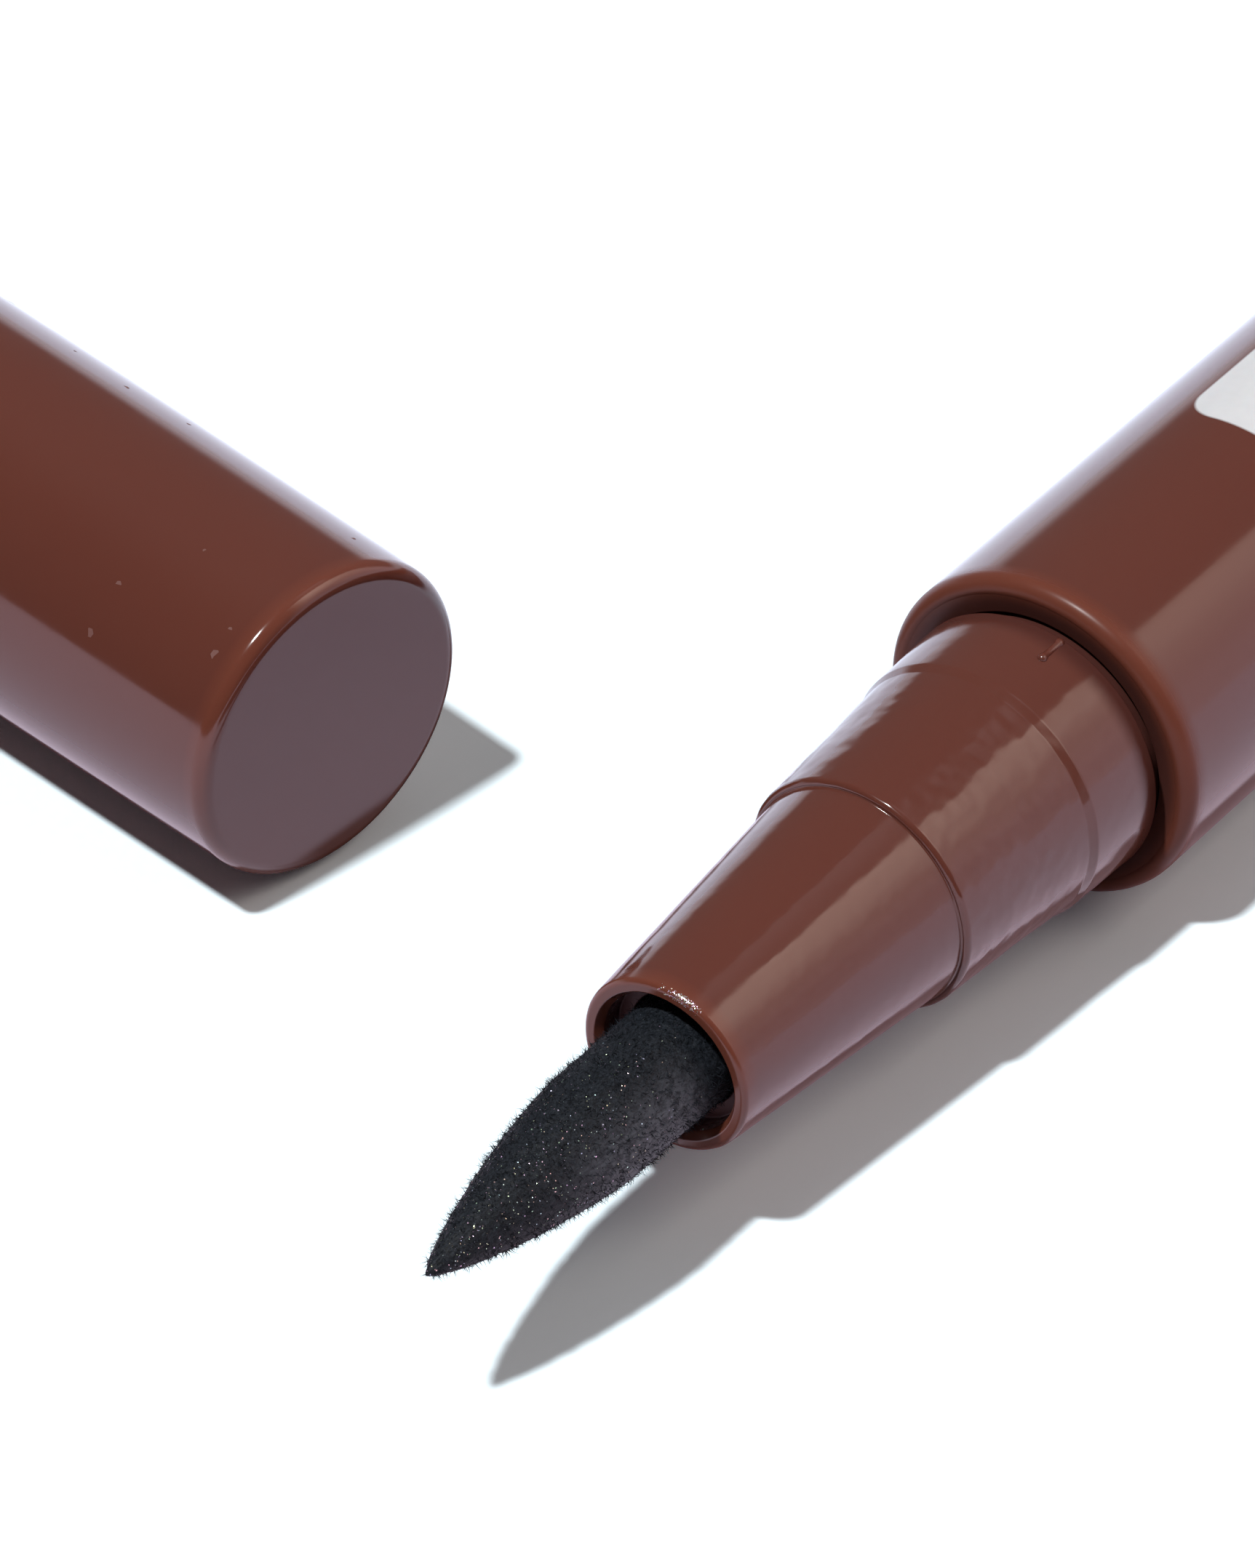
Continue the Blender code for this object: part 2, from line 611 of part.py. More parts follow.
def make_inner_cap(material):
    """Liner with a closed end round the nib, whose tapered mouth seals on the cone."""
    profile = [
        (0, LINER_FLOOR_S),
        (LINER_BORE_RADIUS, LINER_FLOOR_S),
        (LINER_BORE_RADIUS, LINER_MOUTH_S - LINER_SEAL_LENGTH),
        (LINER_MOUTH_RADIUS, LINER_MOUTH_S),
        (LINER_RADIUS - LINER_CHAMFER, LINER_MOUTH_S),
        (LINER_RADIUS, LINER_MOUTH_S - LINER_CHAMFER),
        (LINER_RADIUS, LINER_END_S + LINER_CHAMFER),
        (LINER_RADIUS - LINER_CHAMFER, LINER_END_S),
        (0, LINER_END_S),
    ]
    return turned("inner_cap", profile, OUTER_FACETS, material, hollow=False)


def settle(obj):
    """Applies the modifiers and shades the round faces smooth."""
    evaluated = obj.evaluated_get(bpy.context.evaluated_depsgraph_get())
    mesh = bpy.data.meshes.new_from_object(evaluated)
    mesh.name = obj.name
    obj.modifiers.clear()
    obj.data = mesh
    mesh.shade_smooth()
    mesh.set_sharp_from_angle(angle=SHARP_ANGLE)


def build():
    clear_scene()
    parts = make_collection("eyeliner")
    cutters = make_collection("cutters")
    brown = brown_plastic()
    natural = natural_plastic()
    for piece in (
        make_barrel(brown),
        make_tail_plug(brown),
        make_nozzle(brown),
        make_nib(ink_felt()),
        make_nib_holder(natural, cutters),
        make_wick(wick_fibre()),
        make_collector(comb_plastic(), cutters),
        make_tank_plug(natural),
        make_ink_tank(natural),
    ):
        lay_on_pen(piece, parts)
    make_mixing_ball(ball_steel(), parts)
    pivot = bpy.data.objects.new("cap_pivot", None)
    parts.objects.link(pivot)
    pivot.location = SWING_PLACE
    hang_on_pivot(make_cap_shell(brown), parts, pivot)
    hang_on_pivot(make_inner_cap(natural), parts, pivot)
    bpy.context.view_layer.update()
    for obj in parts.objects:
        if obj.type == "MESH":
            settle(obj)


build()
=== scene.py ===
import math

import bmesh
import bpy
from mathutils import Matrix, Vector, noise


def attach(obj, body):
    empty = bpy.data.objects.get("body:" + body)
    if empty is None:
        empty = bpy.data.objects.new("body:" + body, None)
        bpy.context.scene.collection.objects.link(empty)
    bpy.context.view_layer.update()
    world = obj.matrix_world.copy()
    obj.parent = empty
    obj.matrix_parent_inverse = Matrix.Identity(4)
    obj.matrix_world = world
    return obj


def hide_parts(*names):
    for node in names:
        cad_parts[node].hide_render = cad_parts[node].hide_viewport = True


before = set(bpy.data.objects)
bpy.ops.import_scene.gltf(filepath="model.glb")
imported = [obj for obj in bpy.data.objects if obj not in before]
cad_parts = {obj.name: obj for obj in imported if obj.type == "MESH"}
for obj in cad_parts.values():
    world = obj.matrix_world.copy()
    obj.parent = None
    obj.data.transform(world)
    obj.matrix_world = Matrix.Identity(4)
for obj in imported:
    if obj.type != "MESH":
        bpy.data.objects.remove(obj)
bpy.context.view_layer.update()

# Sizes, in metres. Places named _X run along the pen from the barrel's front face,
# and places named _S along the cap from its closed end.
PEN_PLACE = Vector((-0.03003, -0.0260625, 0.0055))
CAP_PLACE = Vector((-0.04223, -0.0087825, 0.0055))
CAP_YAW = math.radians(81.03)
ALONG_X = Matrix.Rotation(math.pi / 2, 4, "Y")
ON_PEN = Matrix.Translation(PEN_PLACE) @ ALONG_X
ON_CAP = Matrix.Translation(CAP_PLACE) @ Matrix.Rotation(CAP_YAW, 4, "Z") @ ALONG_X

BARREL_RADIUS = 0.0055
BARREL_LENGTH = 0.088
LIP_CREST = 0.00505
LIP_DEPTH = 0.00043
LIP_STEPS = 8
TAIL_STEM_X = 0.08008
TAIL_HEAD_X = 0.08808
TAIL_END_X = 0.09008

COLLAR_EDGE_X = -0.00034
CREASE_X = -0.0034
STEP_X = -0.0093
NOZZLE_MOUTH_X = -0.01887
BORE_SHOULDER_X = -0.0179
NOZZLE_RING_STEP = 0.00015
RIB_ANGLE = math.radians(12)
RIB_AXIS_RADIUS = 0.00446

NIB_RADIUS = 0.0018
NIB_SHOULDER_X = -0.02218
NIB_POINT_LENGTH = 0.00784
NIB_CURVE_POWER = 1.37
NIB_CURVE_ROOT = 0.75
NIB_TAIL_X = -0.0049
NIB_SOCKET_X = -0.0079
NIB_SOCKET_RADIUS = 0.00078
NIB_TAIL_STEP = 0.0008
FELT_START_X = -0.0175
FELT_RING_STEP = 0.000046

CAP_LENGTH = 0.040
CAP_TAPER = 0.000235
CAP_TAPER_S = 0.024
CAP_RING_STEP = 0.001
CAP_RINGS = 24

# Moulding waves on the nozzle: height, waves per metre and squeeze along the pen. They are
# weaker outside the stretch between the crease and the step, and the narrow bore has none.
SWELL = (0.000014, 900, 0.7)
RIPPLE = (0.0000115, 2600, 1.1)
RING_HEIGHT = 0.0000012
RINGS_PER_METRE = 1900
WEAK_WAVE = 0.4
WAVY_RADIUS = 0.0025

# Roughness of the felt: grains per metre across the nib and along it, and their heights
FELT_FIBRES = (9000, 6500)
FELT_GRIT = (18000, 14000)
FELT_LUMPS = (3800, 2600)
FELT_FIBRE_HEIGHT = 0.000022
FELT_GRIT_HEIGHT = 0.000014
FELT_LUMP_HEIGHT = 0.000026
FELT_SINK = 0.00001
FELT_SHIFT = 0.00001
FELT_LEAST_RADIUS = 0.00012

FACETS = 192
ON_AXIS = 1e-9
SUPPORT_SHARE = 0.12


def placed(name, data):
    """Puts a new object with its data into the scene."""
    obj = bpy.data.objects.new(name, data)
    bpy.context.scene.collection.objects.link(obj)
    return obj


def rounded(corners, steps=7):
    """Rounds a profile's corners. Each corner is (radius, place, size of its rounding).

    A further point on either side of a rounding keeps the faces beside it flatly shaded.
    """
    points = []
    last = len(corners) - 1
    for number, (radius, place, size) in enumerate(corners):
        here = Vector((radius, place))
        if number in (0, last) or size == 0:
            points.append(tuple(here))
            continue
        before = Vector(corners[number - 1][:2]) - here
        after = Vector(corners[number + 1][:2]) - here
        turn = before.angle(after)
        reach = size / math.tan(turn / 2)
        start = here + before.normalized() * reach
        finish = here + after.normalized() * reach
        middle = here + (before.normalized() + after.normalized()).normalized() * (
            size / math.sin(turn / 2)
        )
        support = min(reach * SUPPORT_SHARE, before.length / 4, after.length / 4)
        points.append(tuple(start + before.normalized() * support))
        first = start - middle
        swing = first.angle_signed(finish - middle)
        for step in range(steps + 1):
            turned_arm = Matrix.Rotation(-swing * step / steps, 2) @ first
            points.append(tuple(middle + turned_arm))
        points.append(tuple(finish + after.normalized() * support))
    return points


def divided(points, length):
    """Adds points to a profile so that no stretch of it is longer than length."""
    fine = [points[0]]
    for start, end in zip(points, points[1:]):
        a, b = Vector(start), Vector(end)
        parts = max(1, math.ceil((b - a).length / length))
        fine += [tuple(a.lerp(b, number / parts)) for number in range(1, parts + 1)]
    return fine


def spun(name, profile, place, material, closed=False, facets=FACETS, wave=None):
    """A turned piece: a profile of (radius, place) spun about its axis and put in place."""
    mesh = bpy.data.meshes.new(name)
    verts, faces, rings = [], [], []
    for radius, along in profile:
        if radius < ON_AXIS:
            rings.append([len(verts)])
            verts.append(place @ Vector((0, 0, along)))
            continue
        ring = []
        for number in range(facets):
            angle = 2 * math.pi * number / facets
            spot = Vector((radius * math.cos(angle), radius * math.sin(angle), along))
            if wave:
                spot = wave(spot)
            ring.append(len(verts))
            verts.append(place @ spot)
        rings.append(ring)
    pairs = list(zip(rings, rings[1:]))
    if closed:
        pairs.append((rings[-1], rings[0]))
    for upper, lower in pairs:
        for number in range(facets):
            after = (number + 1) % facets
            if len(upper) == 1:
                faces.append((upper[0], lower[number], lower[after]))
            elif len(lower) == 1:
                faces.append((upper[number], lower[0], upper[after]))
            else:
                faces.append((upper[number], lower[number], lower[after], upper[after]))
    mesh.from_pydata(verts, [], faces)
    mesh.materials.append(material)
    mesh.shade_smooth()
    return placed(name, mesh)


# Materials


class Wiring:
    """Adds nodes to one shader tree and joins them."""

    def __init__(self, tree):
        self.tree = tree

    def node(self, kind, settings=None, **inputs):
        made = self.tree.nodes.new("ShaderNode" + kind)
        for key, value in (settings or {}).items():
            setattr(made, key, value)
        for key, value in inputs.items():
            self.feed(made.inputs[key.replace("_", " ")], value)
        return made

    def feed(self, socket, value):
        if isinstance(value, bpy.types.NodeSocket):
            self.tree.links.new(value, socket)
        else:
            socket.default_value = value

    def grain(self, spot, scale, detail, roughness=0.5):
        made = self.node("TexNoise", Vector=spot, Scale=scale, Detail=detail, Roughness=roughness)
        return made.outputs["Fac"]

    def between(self, value, low, high, out_low, out_high, smooth=False):
        """Takes a value from one range to another and stays at its ends beyond them."""
        made = self.node("MapRange", {"interpolation_type": "SMOOTHSTEP" if smooth else "LINEAR"})
        ends = {"From Min": low, "From Max": high, "To Min": out_low, "To Max": out_high}
        for key, number in ends.items():
            made.inputs[key].default_value = number
        self.feed(made.inputs["Value"], value)
        return made.outputs[0]

    def rise(self, value, ends, smooth=True):
        """From 0 at the first end to 1 at the second."""
        return self.between(value, ends[0], ends[1], 0.0, 1.0, smooth)

    def fall(self, value, ends, smooth=True):
        """From 1 at the first end to 0 at the second."""
        return self.between(value, ends[0], ends[1], 1.0, 0.0, smooth)

    def spread(self, tone, low, high):
        """Noise, which stays mostly between 0.3 and 0.7, taken to another range."""
        return self.between(tone, 0.3, 0.7, low, high)

    def mix(self, factor, first, second):
        made = self.node("Mix", {"data_type": "RGBA"})
        self.feed(made.inputs["Factor"], factor)
        self.feed(made.inputs["A"], first)
        self.feed(made.inputs["B"], second)
        return made.outputs["Result"]

    def sums(self, operation, *values):
        made = self.node("Math", {"operation": operation})
        for socket, value in zip(made.inputs, values):
            self.feed(socket, value)
        return made.outputs[0]

    def product(self, first, *others):
        for other in others:
            first = self.sums("MULTIPLY", first, other)
        return first

    def vectors(self, operation, first, second=None):
        made = self.node("VectorMath", {"operation": operation})
        self.feed(made.inputs[0], first)
        if second is not None:
            self.feed(made.inputs[1], second)
        return made.outputs

    def along(self, spot, direction):
        """How far a spot lies along a direction."""
        return self.vectors("DOT_PRODUCT", spot, direction)["Value"]

    def length(self, vector):
        return self.vectors("LENGTH", vector)["Value"]


class Finish(Wiring):
    """Builds one material's nodes."""

    def __init__(self, name, **values):
        self.material = bpy.data.materials.new(name)
        self.material.use_nodes = True
        super().__init__(self.material.node_tree)
        self.shader = self.tree.nodes["Principled BSDF"]
        for socket, value in values.items():
            self.shader.inputs[socket.replace("_", " ")].default_value = value

    def spot(self, place, turn=0.0, scale=(1, 1, 1)):
        """Object coordinates from a place on the piece, turned about the upright."""
        where = self.node("TexCoord").outputs["Object"]
        moved = self.vectors("SUBTRACT", where, place)[0]
        mapped = self.node("Mapping", {"vector_type": "POINT"}, Vector=moved)
        mapped.inputs["Rotation"].default_value = (0, 0, turn)
        mapped.inputs["Scale"].default_value = scale
        return mapped.outputs[0]

    def pen_parts(self):
        """The places along the pen, across it to the back and upwards."""
        return self.node("SeparateXYZ", Vector=self.spot(PEN_PLACE)).outputs

    def off_axis(self, parts):
        """How far a spot is from the pen's axis."""
        return self.length(self.node("CombineXYZ", X=parts[1], Y=parts[2]).outputs[0])

    def angle_round(self, parts):
        """The angle round the pen, from its top towards the front."""
        front = self.sums("MULTIPLY", parts[1], -1.0)
        return self.sums("ARCTAN2", front, parts[2])

    def bump(self, height, distance, strength=1.0):
        return self.node("Bump", Height=height, Strength=strength, Distance=distance).outputs[0]

    def wear(self, **sockets):
        for key, value in sockets.items():
            self.feed(self.shader.inputs[key.replace("_", " ")], value)

    def worn(self, socket):
        """What feeds one of the shader's sockets so far."""
        return self.shader.inputs[socket].links[0].from_socket


# Colours in linear light
BROWN = (0.111, 0.0325, 0.0225, 1)
BROWN_WARM = (0.121, 0.036, 0.024, 1)
# A warmer, lighter brown painted on the rims as a glow of light
BROWN_RIM_GLOW = (0.146, 0.042, 0.026, 1)
# Painted shade, for the barrel's mouth and the nozzle's neck
BROWN_SHADED = (0.074, 0.0245, 0.0195, 1)
PRINT_WHITE = (0.70, 0.72, 0.74, 1)
PRINT_SHADE = (0.64, 0.66, 0.68, 1)
INK = (0.004, 0.0055, 0.0075, 1)
INK_LIGHT = (0.021, 0.026, 0.034, 1)
# Painted sheen, for the pale patch on the felt beside the nozzle
INK_PAINTED_SHEEN = (0.14, 0.15, 0.18, 1)
INK_STAIN = (0.10, 0.038, 0.040, 1)
LINT_DARK = (0.135, 0.05, 0.04, 1)
LINT_PALE = (0.165, 0.068, 0.056, 1)
NATURAL_PLASTIC = (0.72, 0.72, 0.69, 1)
COMB_PLASTIC = (0.5, 0.5, 0.48, 1)
WICK_FIBRE = (0.2, 0.19, 0.19, 1)
BALL_STEEL = (0.6, 0.6, 0.61, 1)

# The blank panel printed on the barrel: its ends along the pen, its middle and half width
# round the barrel, its corner and the softness of its edge
PANEL_X = (0.01045, 0.060)
PANEL_MIDDLE = math.radians(6.25)
PANEL_HALF_WIDTH = 0.00276
PANEL_CORNER = 0.0012
PANEL_EDGE = 0.00005

# The two places, radii or angles between which a finish changes. The lip and neck shades are painted
# shade, and the felt's patch is painted sheen
LIP_SHADE_RADII = (0.0046, 0.00515)
LIP_SHADE_X = (0.001, 0.002)
NECK_SHADE_X = (-0.00125, -0.0005)
BORE_RADII = (0.00235, 0.0024)
BORE_STAIN_X = (-0.0187, -0.0176)
PAINTED_SHEEN_START_X = (-0.0266, -0.0225)
PAINTED_SHEEN_END_X = (-0.0206, -0.0190)
PAINTED_SHEEN_ANGLES = (0.35, 2.0)
PAINTED_SHEEN_LEAST = 0.15

# How softly a rim starts and ends, and how much of the shine its dullness takes
RIM_FADES = (0.0001, 0.0005)
RIM_SHINE_LOSS = 1.7


def brown_gloss(name, place, turn, smooth, rough, orange_peel, rim, rim_rough):
    """Glossy brown plastic. Its rim, which lies between two places, is duller and painted a warmer,
    lighter brown as a glow of light through the edge.
    """
    s = Finish(name, IOR=1.56, Subsurface_Weight=0.12, Subsurface_Scale=0.0005,
               Subsurface_Radius=(1.0, 0.28, 0.18))
    spot = s.spot(place, turn)
    cloud = s.grain(spot, 90.0, 2.0)
    along = s.node("SeparateXYZ", Vector=spot).outputs[0]
    at_rim = s.product(s.rise(along, (rim[0], rim[0] + RIM_FADES[0]), smooth=False),
                       s.fall(along, (rim[1], rim[1] + RIM_FADES[1]), smooth=False))
    # The rim's warmer, lighter brown is a painted glow of light
    s.wear(Base_Color=s.mix(at_rim, s.mix(cloud, BROWN, BROWN_WARM), BROWN_RIM_GLOW))
    smear = s.grain(s.spot(place, turn, (0.35, 1, 1)), 700.0, 3.0, 0.6)
    smeared = s.between(smear, 0.3, 0.75, smooth, rough)
    s.wear(Roughness=s.sums("ADD", smeared, s.product(at_rim, rim_rough)))
    shine_loss = s.product(at_rim, rim_rough * RIM_SHINE_LOSS)
    s.wear(Specular_IOR_Level=s.sums("SUBTRACT", 0.5, shine_loss))
    s.wear(Normal=s.bump(s.grain(spot, 1500.0, 2.0), orange_peel))
    return s


def on_panel(s, parts):
    """1 on the panel, which is a rectangle with rounded corners, and 0 beside it."""
    middle_x = (PANEL_X[0] + PANEL_X[1]) / 2
    half_length = (PANEL_X[1] - PANEL_X[0]) / 2
    off_middle = s.sums("ABSOLUTE", s.sums("SUBTRACT", parts[0], middle_x))
    beyond_end = s.sums("SUBTRACT", off_middle, half_length - PANEL_CORNER)
    turned = s.sums("SUBTRACT", s.angle_round(parts), PANEL_MIDDLE)
    off_line = s.sums("ABSOLUTE", s.product(turned, BARREL_RADIUS))
    beyond_side = s.sums("SUBTRACT", off_line, PANEL_HALF_WIDTH - PANEL_CORNER)
    from_corner = s.node("CombineXYZ", X=s.sums("MAXIMUM", beyond_end, 0.0),
                         Y=s.sums("MAXIMUM", beyond_side, 0.0)).outputs[0]
    edge = (PANEL_CORNER - PANEL_EDGE, PANEL_CORNER + PANEL_EDGE)
    return s.fall(s.length(from_corner), edge, smooth=False)


def barrel_gloss():
    """Brown gloss with a plain blank white panel printed along the barrel, and painted shade at its
    mouth round the collar.
    """
    s = brown_gloss("barrel_brown_gloss", PEN_PLACE, 0.0, smooth=0.10, rough=0.16,
                    orange_peel=0.0000012, rim=(-0.001, 0.0004), rim_rough=0.2)
    parts = s.pen_parts()
    printed = on_panel(s, parts)
    ink = s.mix(s.grain(s.spot(PEN_PLACE), 2400.0, 3.0), PRINT_SHADE, PRINT_WHITE)
    # Painted shade on the barrel's mouth round the collar
    at_mouth = s.product(s.fall(s.off_axis(parts), LIP_SHADE_RADII),
                         s.fall(parts[0], LIP_SHADE_X, smooth=False))
    brown = s.mix(at_mouth, s.worn("Base Color"), BROWN_SHADED)
    s.wear(Base_Color=s.mix(printed, brown, ink))
    s.wear(Roughness=s.sums("ADD", s.worn("Roughness"), s.product(printed, 0.12)))
    return s.material


def nozzle_gloss():
    """Brown gloss with ink on the wall of its bore, and painted shade on its neck in the barrel."""
    s = brown_gloss("nozzle_brown_gloss", PEN_PLACE, 0.0, smooth=0.06, rough=0.20,
                    orange_peel=0.0000006, rim=(-0.03, -0.0187), rim_rough=0.06)
    parts = s.pen_parts()
    within = s.fall(s.off_axis(parts), BORE_RADII, smooth=False)
    stained = s.product(within, s.rise(parts[0], BORE_STAIN_X))
    # Painted shade, with less shine, on the collar's end and the neck by the barrel
    neck = s.rise(parts[0], NECK_SHADE_X)
    inked = s.mix(stained, s.worn("Base Color"), INK_STAIN)
    s.wear(Base_Color=s.mix(neck, inked, BROWN_SHADED))
    s.wear(Roughness=s.sums("ADD", s.worn("Roughness"), s.product(stained, 0.4)))
    duller = s.sums("MAXIMUM", s.product(stained, 0.36), s.product(neck, 0.5))
    s.wear(Specular_IOR_Level=s.sums("SUBTRACT", s.worn("Specular IOR Level"), duller))
    return s.material


def felt():
    """Inked felt, with a pale patch of painted sheen beside the nozzle on the side of the camera."""
    s = Finish("inked_felt", IOR=1.5, Specular_IOR_Level=0.16, Sheen_Weight=0.04,
               Sheen_Roughness=0.4, Sheen_Tint=(0.75, 0.8, 1.0, 1))
    fibre = s.grain(s.spot(PEN_PLACE, 0.0, (0.7, 1, 1)), 11000.0, 4.0, 0.7)
    grit = s.grain(s.spot(PEN_PLACE), 22000.0, 2.0, 0.6)
    rough = s.product(s.sums("ADD", fibre, grit), 0.5)
    parts = s.pen_parts()
    outside = s.between(parts[0], *PAINTED_SHEEN_END_X, 1.0, PAINTED_SHEEN_LEAST, smooth=True)
    # A pale patch of painted sheen on the side towards the camera, streaked like fibres
    painted_sheen = s.product(s.rise(parts[0], PAINTED_SHEEN_START_X), outside, s.rise(s.angle_round(parts), PAINTED_SHEEN_ANGLES))
    stroke = s.grain(s.spot(PEN_PLACE, 0.5, (0.45, 1, 1)), 8000.0, 3.0, 0.6)
    streaked = s.product(painted_sheen, s.between(stroke, 0.38, 0.56, 0.25, 1.0))
    dark = s.mix(s.rise(rough, (0.42, 0.62), smooth=False), INK, INK_LIGHT)
    s.wear(Base_Color=s.mix(streaked, dark, INK_PAINTED_SHEEN))
    s.wear(Roughness=s.spread(fibre, 0.42, 0.66))
    s.wear(Normal=s.bump(rough, 0.00003, 0.8))
    return s.material


def loose_fibre():
    s = Finish("loose_felt_fibre", IOR=1.5, Specular_IOR_Level=0.12)
    tone = s.grain(s.spot(PEN_PLACE), 5000.0, 2.0)
    s.wear(Base_Color=s.mix(s.rise(tone, (0.4, 0.65), smooth=False), INK, INK_LIGHT))
    s.wear(Roughness=s.spread(tone, 0.6, 0.85))
    return s.material


def glitter():
    """Metal flakes whose tint comes from the hue that each flake carries."""
    s = Finish("ink_glitter", Metallic=1.0)
    hue = s.node("Attribute", {"attribute_name": "hue"}).outputs["Fac"]
    tint = s.node("CombineColor", {"mode": "HSV"}, Red=hue, Green=0.3, Blue=0.85).outputs[0]
    s.wear(Base_Color=tint)
    s.wear(Roughness=s.spread(s.grain(s.spot(PEN_PLACE), 9000.0, 1.0), 0.3, 0.42))
    return s.material


def lint():
    s = Finish("pale_lint", IOR=1.5)
    tone = s.grain(s.spot(CAP_PLACE), 9000.0, 2.0)
    s.wear(Base_Color=s.mix(tone, LINT_DARK, LINT_PALE))
    s.wear(Roughness=s.spread(tone, 0.5, 0.8))
    return s.material


def plain(name, colour, roughness, scale=1200.0, **values):
    """One colour with a fine grain, for the inner pieces."""
    s = Finish(name, **values)
    tone = s.grain(s.spot(PEN_PLACE), scale, 3.0)
    darker = tuple(c * 0.9 for c in colour[:3]) + (1,)
    s.wear(Base_Color=s.mix(tone, darker, colour))
    s.wear(Roughness=s.spread(tone, roughness * 0.85, roughness * 1.15))
    s.wear(Normal=s.bump(tone, 0.000002))
    return s.material


# Turned pieces


def make_barrel(material):
    """A tube with a rounded lip round a slightly dished face, and a narrow gap inside it."""
    corners = [
        (0.00425, 0.0005, 0),
        (0.00461, 0.0006, 0),
        (0.00461, 0.0158, 0),
        (0.00419, 0.0158, 0),
        (0.00419, BARREL_LENGTH, 0),
        (BARREL_RADIUS, BARREL_LENGTH, 0.00008),
        (BARREL_RADIUS, 0.0005, 0),
    ]
    points = rounded(corners)
    lip_width = BARREL_RADIUS - LIP_CREST
    for number in range(LIP_STEPS + 1):
        turn = math.pi / 2 * number / LIP_STEPS
        points.append((LIP_CREST + lip_width * math.cos(turn), LIP_DEPTH * (1 - math.sin(turn))))
    dish = [
        (LIP_CREST, 0, 0),
        (0.00495, 0.00003, 0.00006),
        (0.0043, 0.00012, 0.00005),
        (0.00426, 0.0004, 0),
    ]
    points += rounded(dish)[1:]
    return spun("barrel_tube", points, ON_PEN, material, closed=True)


def moulded(spot):
    """Moves a spot on the nozzle by the moulding waves."""
    if spot.z > 0 or spot.xy.length < WAVY_RADIUS:
        return spot
    share = 1.0 if STEP_X < spot.z <= CREASE_X else WEAK_WAVE
    waves = sum(
        height * noise.noise(Vector((spot.x, spot.y, spot.z * squeeze)) * per_metre)
        for height, per_metre, squeeze in (SWELL, RIPPLE)
    )
    ring = noise.noise(Vector((7.7, spot.z * RINGS_PER_METRE, 3.1)))
    lift = share * waves + RING_HEIGHT * ring
    grow = 1 + lift / spot.xy.length
    return Vector((spot.x * grow, spot.y * grow, spot.z))


def make_nozzle(material):
    """A collar with a neck, a step, a cone with a rounded lip, and a stepped bore."""
    outside = [
        (0.00453, 0.0009, 0),
        (0.00415, 0.0007, 0),
        (0.00415, -0.00005, 0.0001),
        (0.004521, COLLAR_EDGE_X, 0.00012),
        (0.00443, -0.00326, 0.0003),
        (0.004319, -0.00358, 0.0003),
        (0.004135, -0.00585, 0.0004),
        (0.00393, STEP_X, 0.0002),
        (0.00371, STEP_X, 0.00006),
        (0.00287, NOZZLE_MOUTH_X, 0.00018),
        (0.00250, NOZZLE_MOUTH_X, 0.00005),
        (0.00232, -0.01860, 0.00006),
        (0.00232, BORE_SHOULDER_X, 0.00005),
        (0.00188, BORE_SHOULDER_X, 0.00005),
        (0.00188, -0.0175, 0),
    ]
    inside = [
        (0.00188, -0.0153),
        (0.00278, -0.0153),
        (0.00278, -0.004),
        (0.0037, -0.004),
        (0.0037, 0.0141),
        (0.00453, 0.0141),
    ]
    points = divided(rounded(outside), NOZZLE_RING_STEP) + inside
    return spun("nozzle_body", points, ON_PEN, material, closed=True, facets=256, wave=moulded)


def make_key_rib(material):
    """A small rib with a bead at each end, on the band beside the barrel."""
    points = [(0, -0.00155), (0.0001, -0.00152), (0.00015, -0.00146), (0.00016, -0.00139)]
    points += [(0.00015, -0.00132), (0.00012, -0.00126), (0.00012, -0.00062), (0.00015, -0.00056)]
    points += [(0.00016, -0.00049), (0.00015, -0.00042), (0.0001, -0.00036), (0, -0.00033)]
    across = Vector((-math.cos(RIB_ANGLE), -math.sin(RIB_ANGLE), 0)) * RIB_AXIS_RADIUS
    return spun("key_rib", points, ON_PEN @ Matrix.Translation(across), material, facets=20)


def nib_radius(share):
    return NIB_RADIUS * (1 - share**NIB_CURVE_POWER) ** NIB_CURVE_ROOT


def felted(spot):
    """Moves a spot on the nib by the roughness of the felt."""
    if spot.z > FELT_START_X:
        return spot
    fibre, grit, lump = (
        noise.noise(Vector((spot.x * across, spot.y * across, spot.z * along)))
        for across, along in (FELT_FIBRES, FELT_GRIT, FELT_LUMPS)
    )
    lift = FELT_FIBRE_HEIGHT * fibre + FELT_GRIT_HEIGHT * grit + FELT_LUMP_HEIGHT * lump - FELT_SINK
    grow = 1 + lift / max(spot.xy.length, FELT_LEAST_RADIUS)
    return Vector((spot.x * grow, spot.y * grow, spot.z + FELT_SHIFT * grit))


def make_nib(material):
    """A felt bullet with the wick's socket in its tail."""
    points = [
        (NIB_SOCKET_RADIUS, NIB_TAIL_X),
        (NIB_RADIUS, NIB_TAIL_X),
        (NIB_RADIUS, FELT_START_X),
    ]
    points = divided(points, NIB_TAIL_STEP)
    straight = int((FELT_START_X - NIB_SHOULDER_X) / FELT_RING_STEP)
    for number in range(1, straight + 1):
        points.append((NIB_RADIUS, FELT_START_X - number * FELT_RING_STEP))
    count = int(NIB_POINT_LENGTH / FELT_RING_STEP)
    for number in range(1, count):
        share = number / count
        points.append((nib_radius(share), NIB_SHOULDER_X - share * NIB_POINT_LENGTH))
    points.append((0, NIB_SHOULDER_X - NIB_POINT_LENGTH))
    points = [(0, NIB_SOCKET_X), (NIB_SOCKET_RADIUS, NIB_SOCKET_X)] + points
    return spun("felt_nib", points, ON_PEN, material, facets=280, wave=felted)


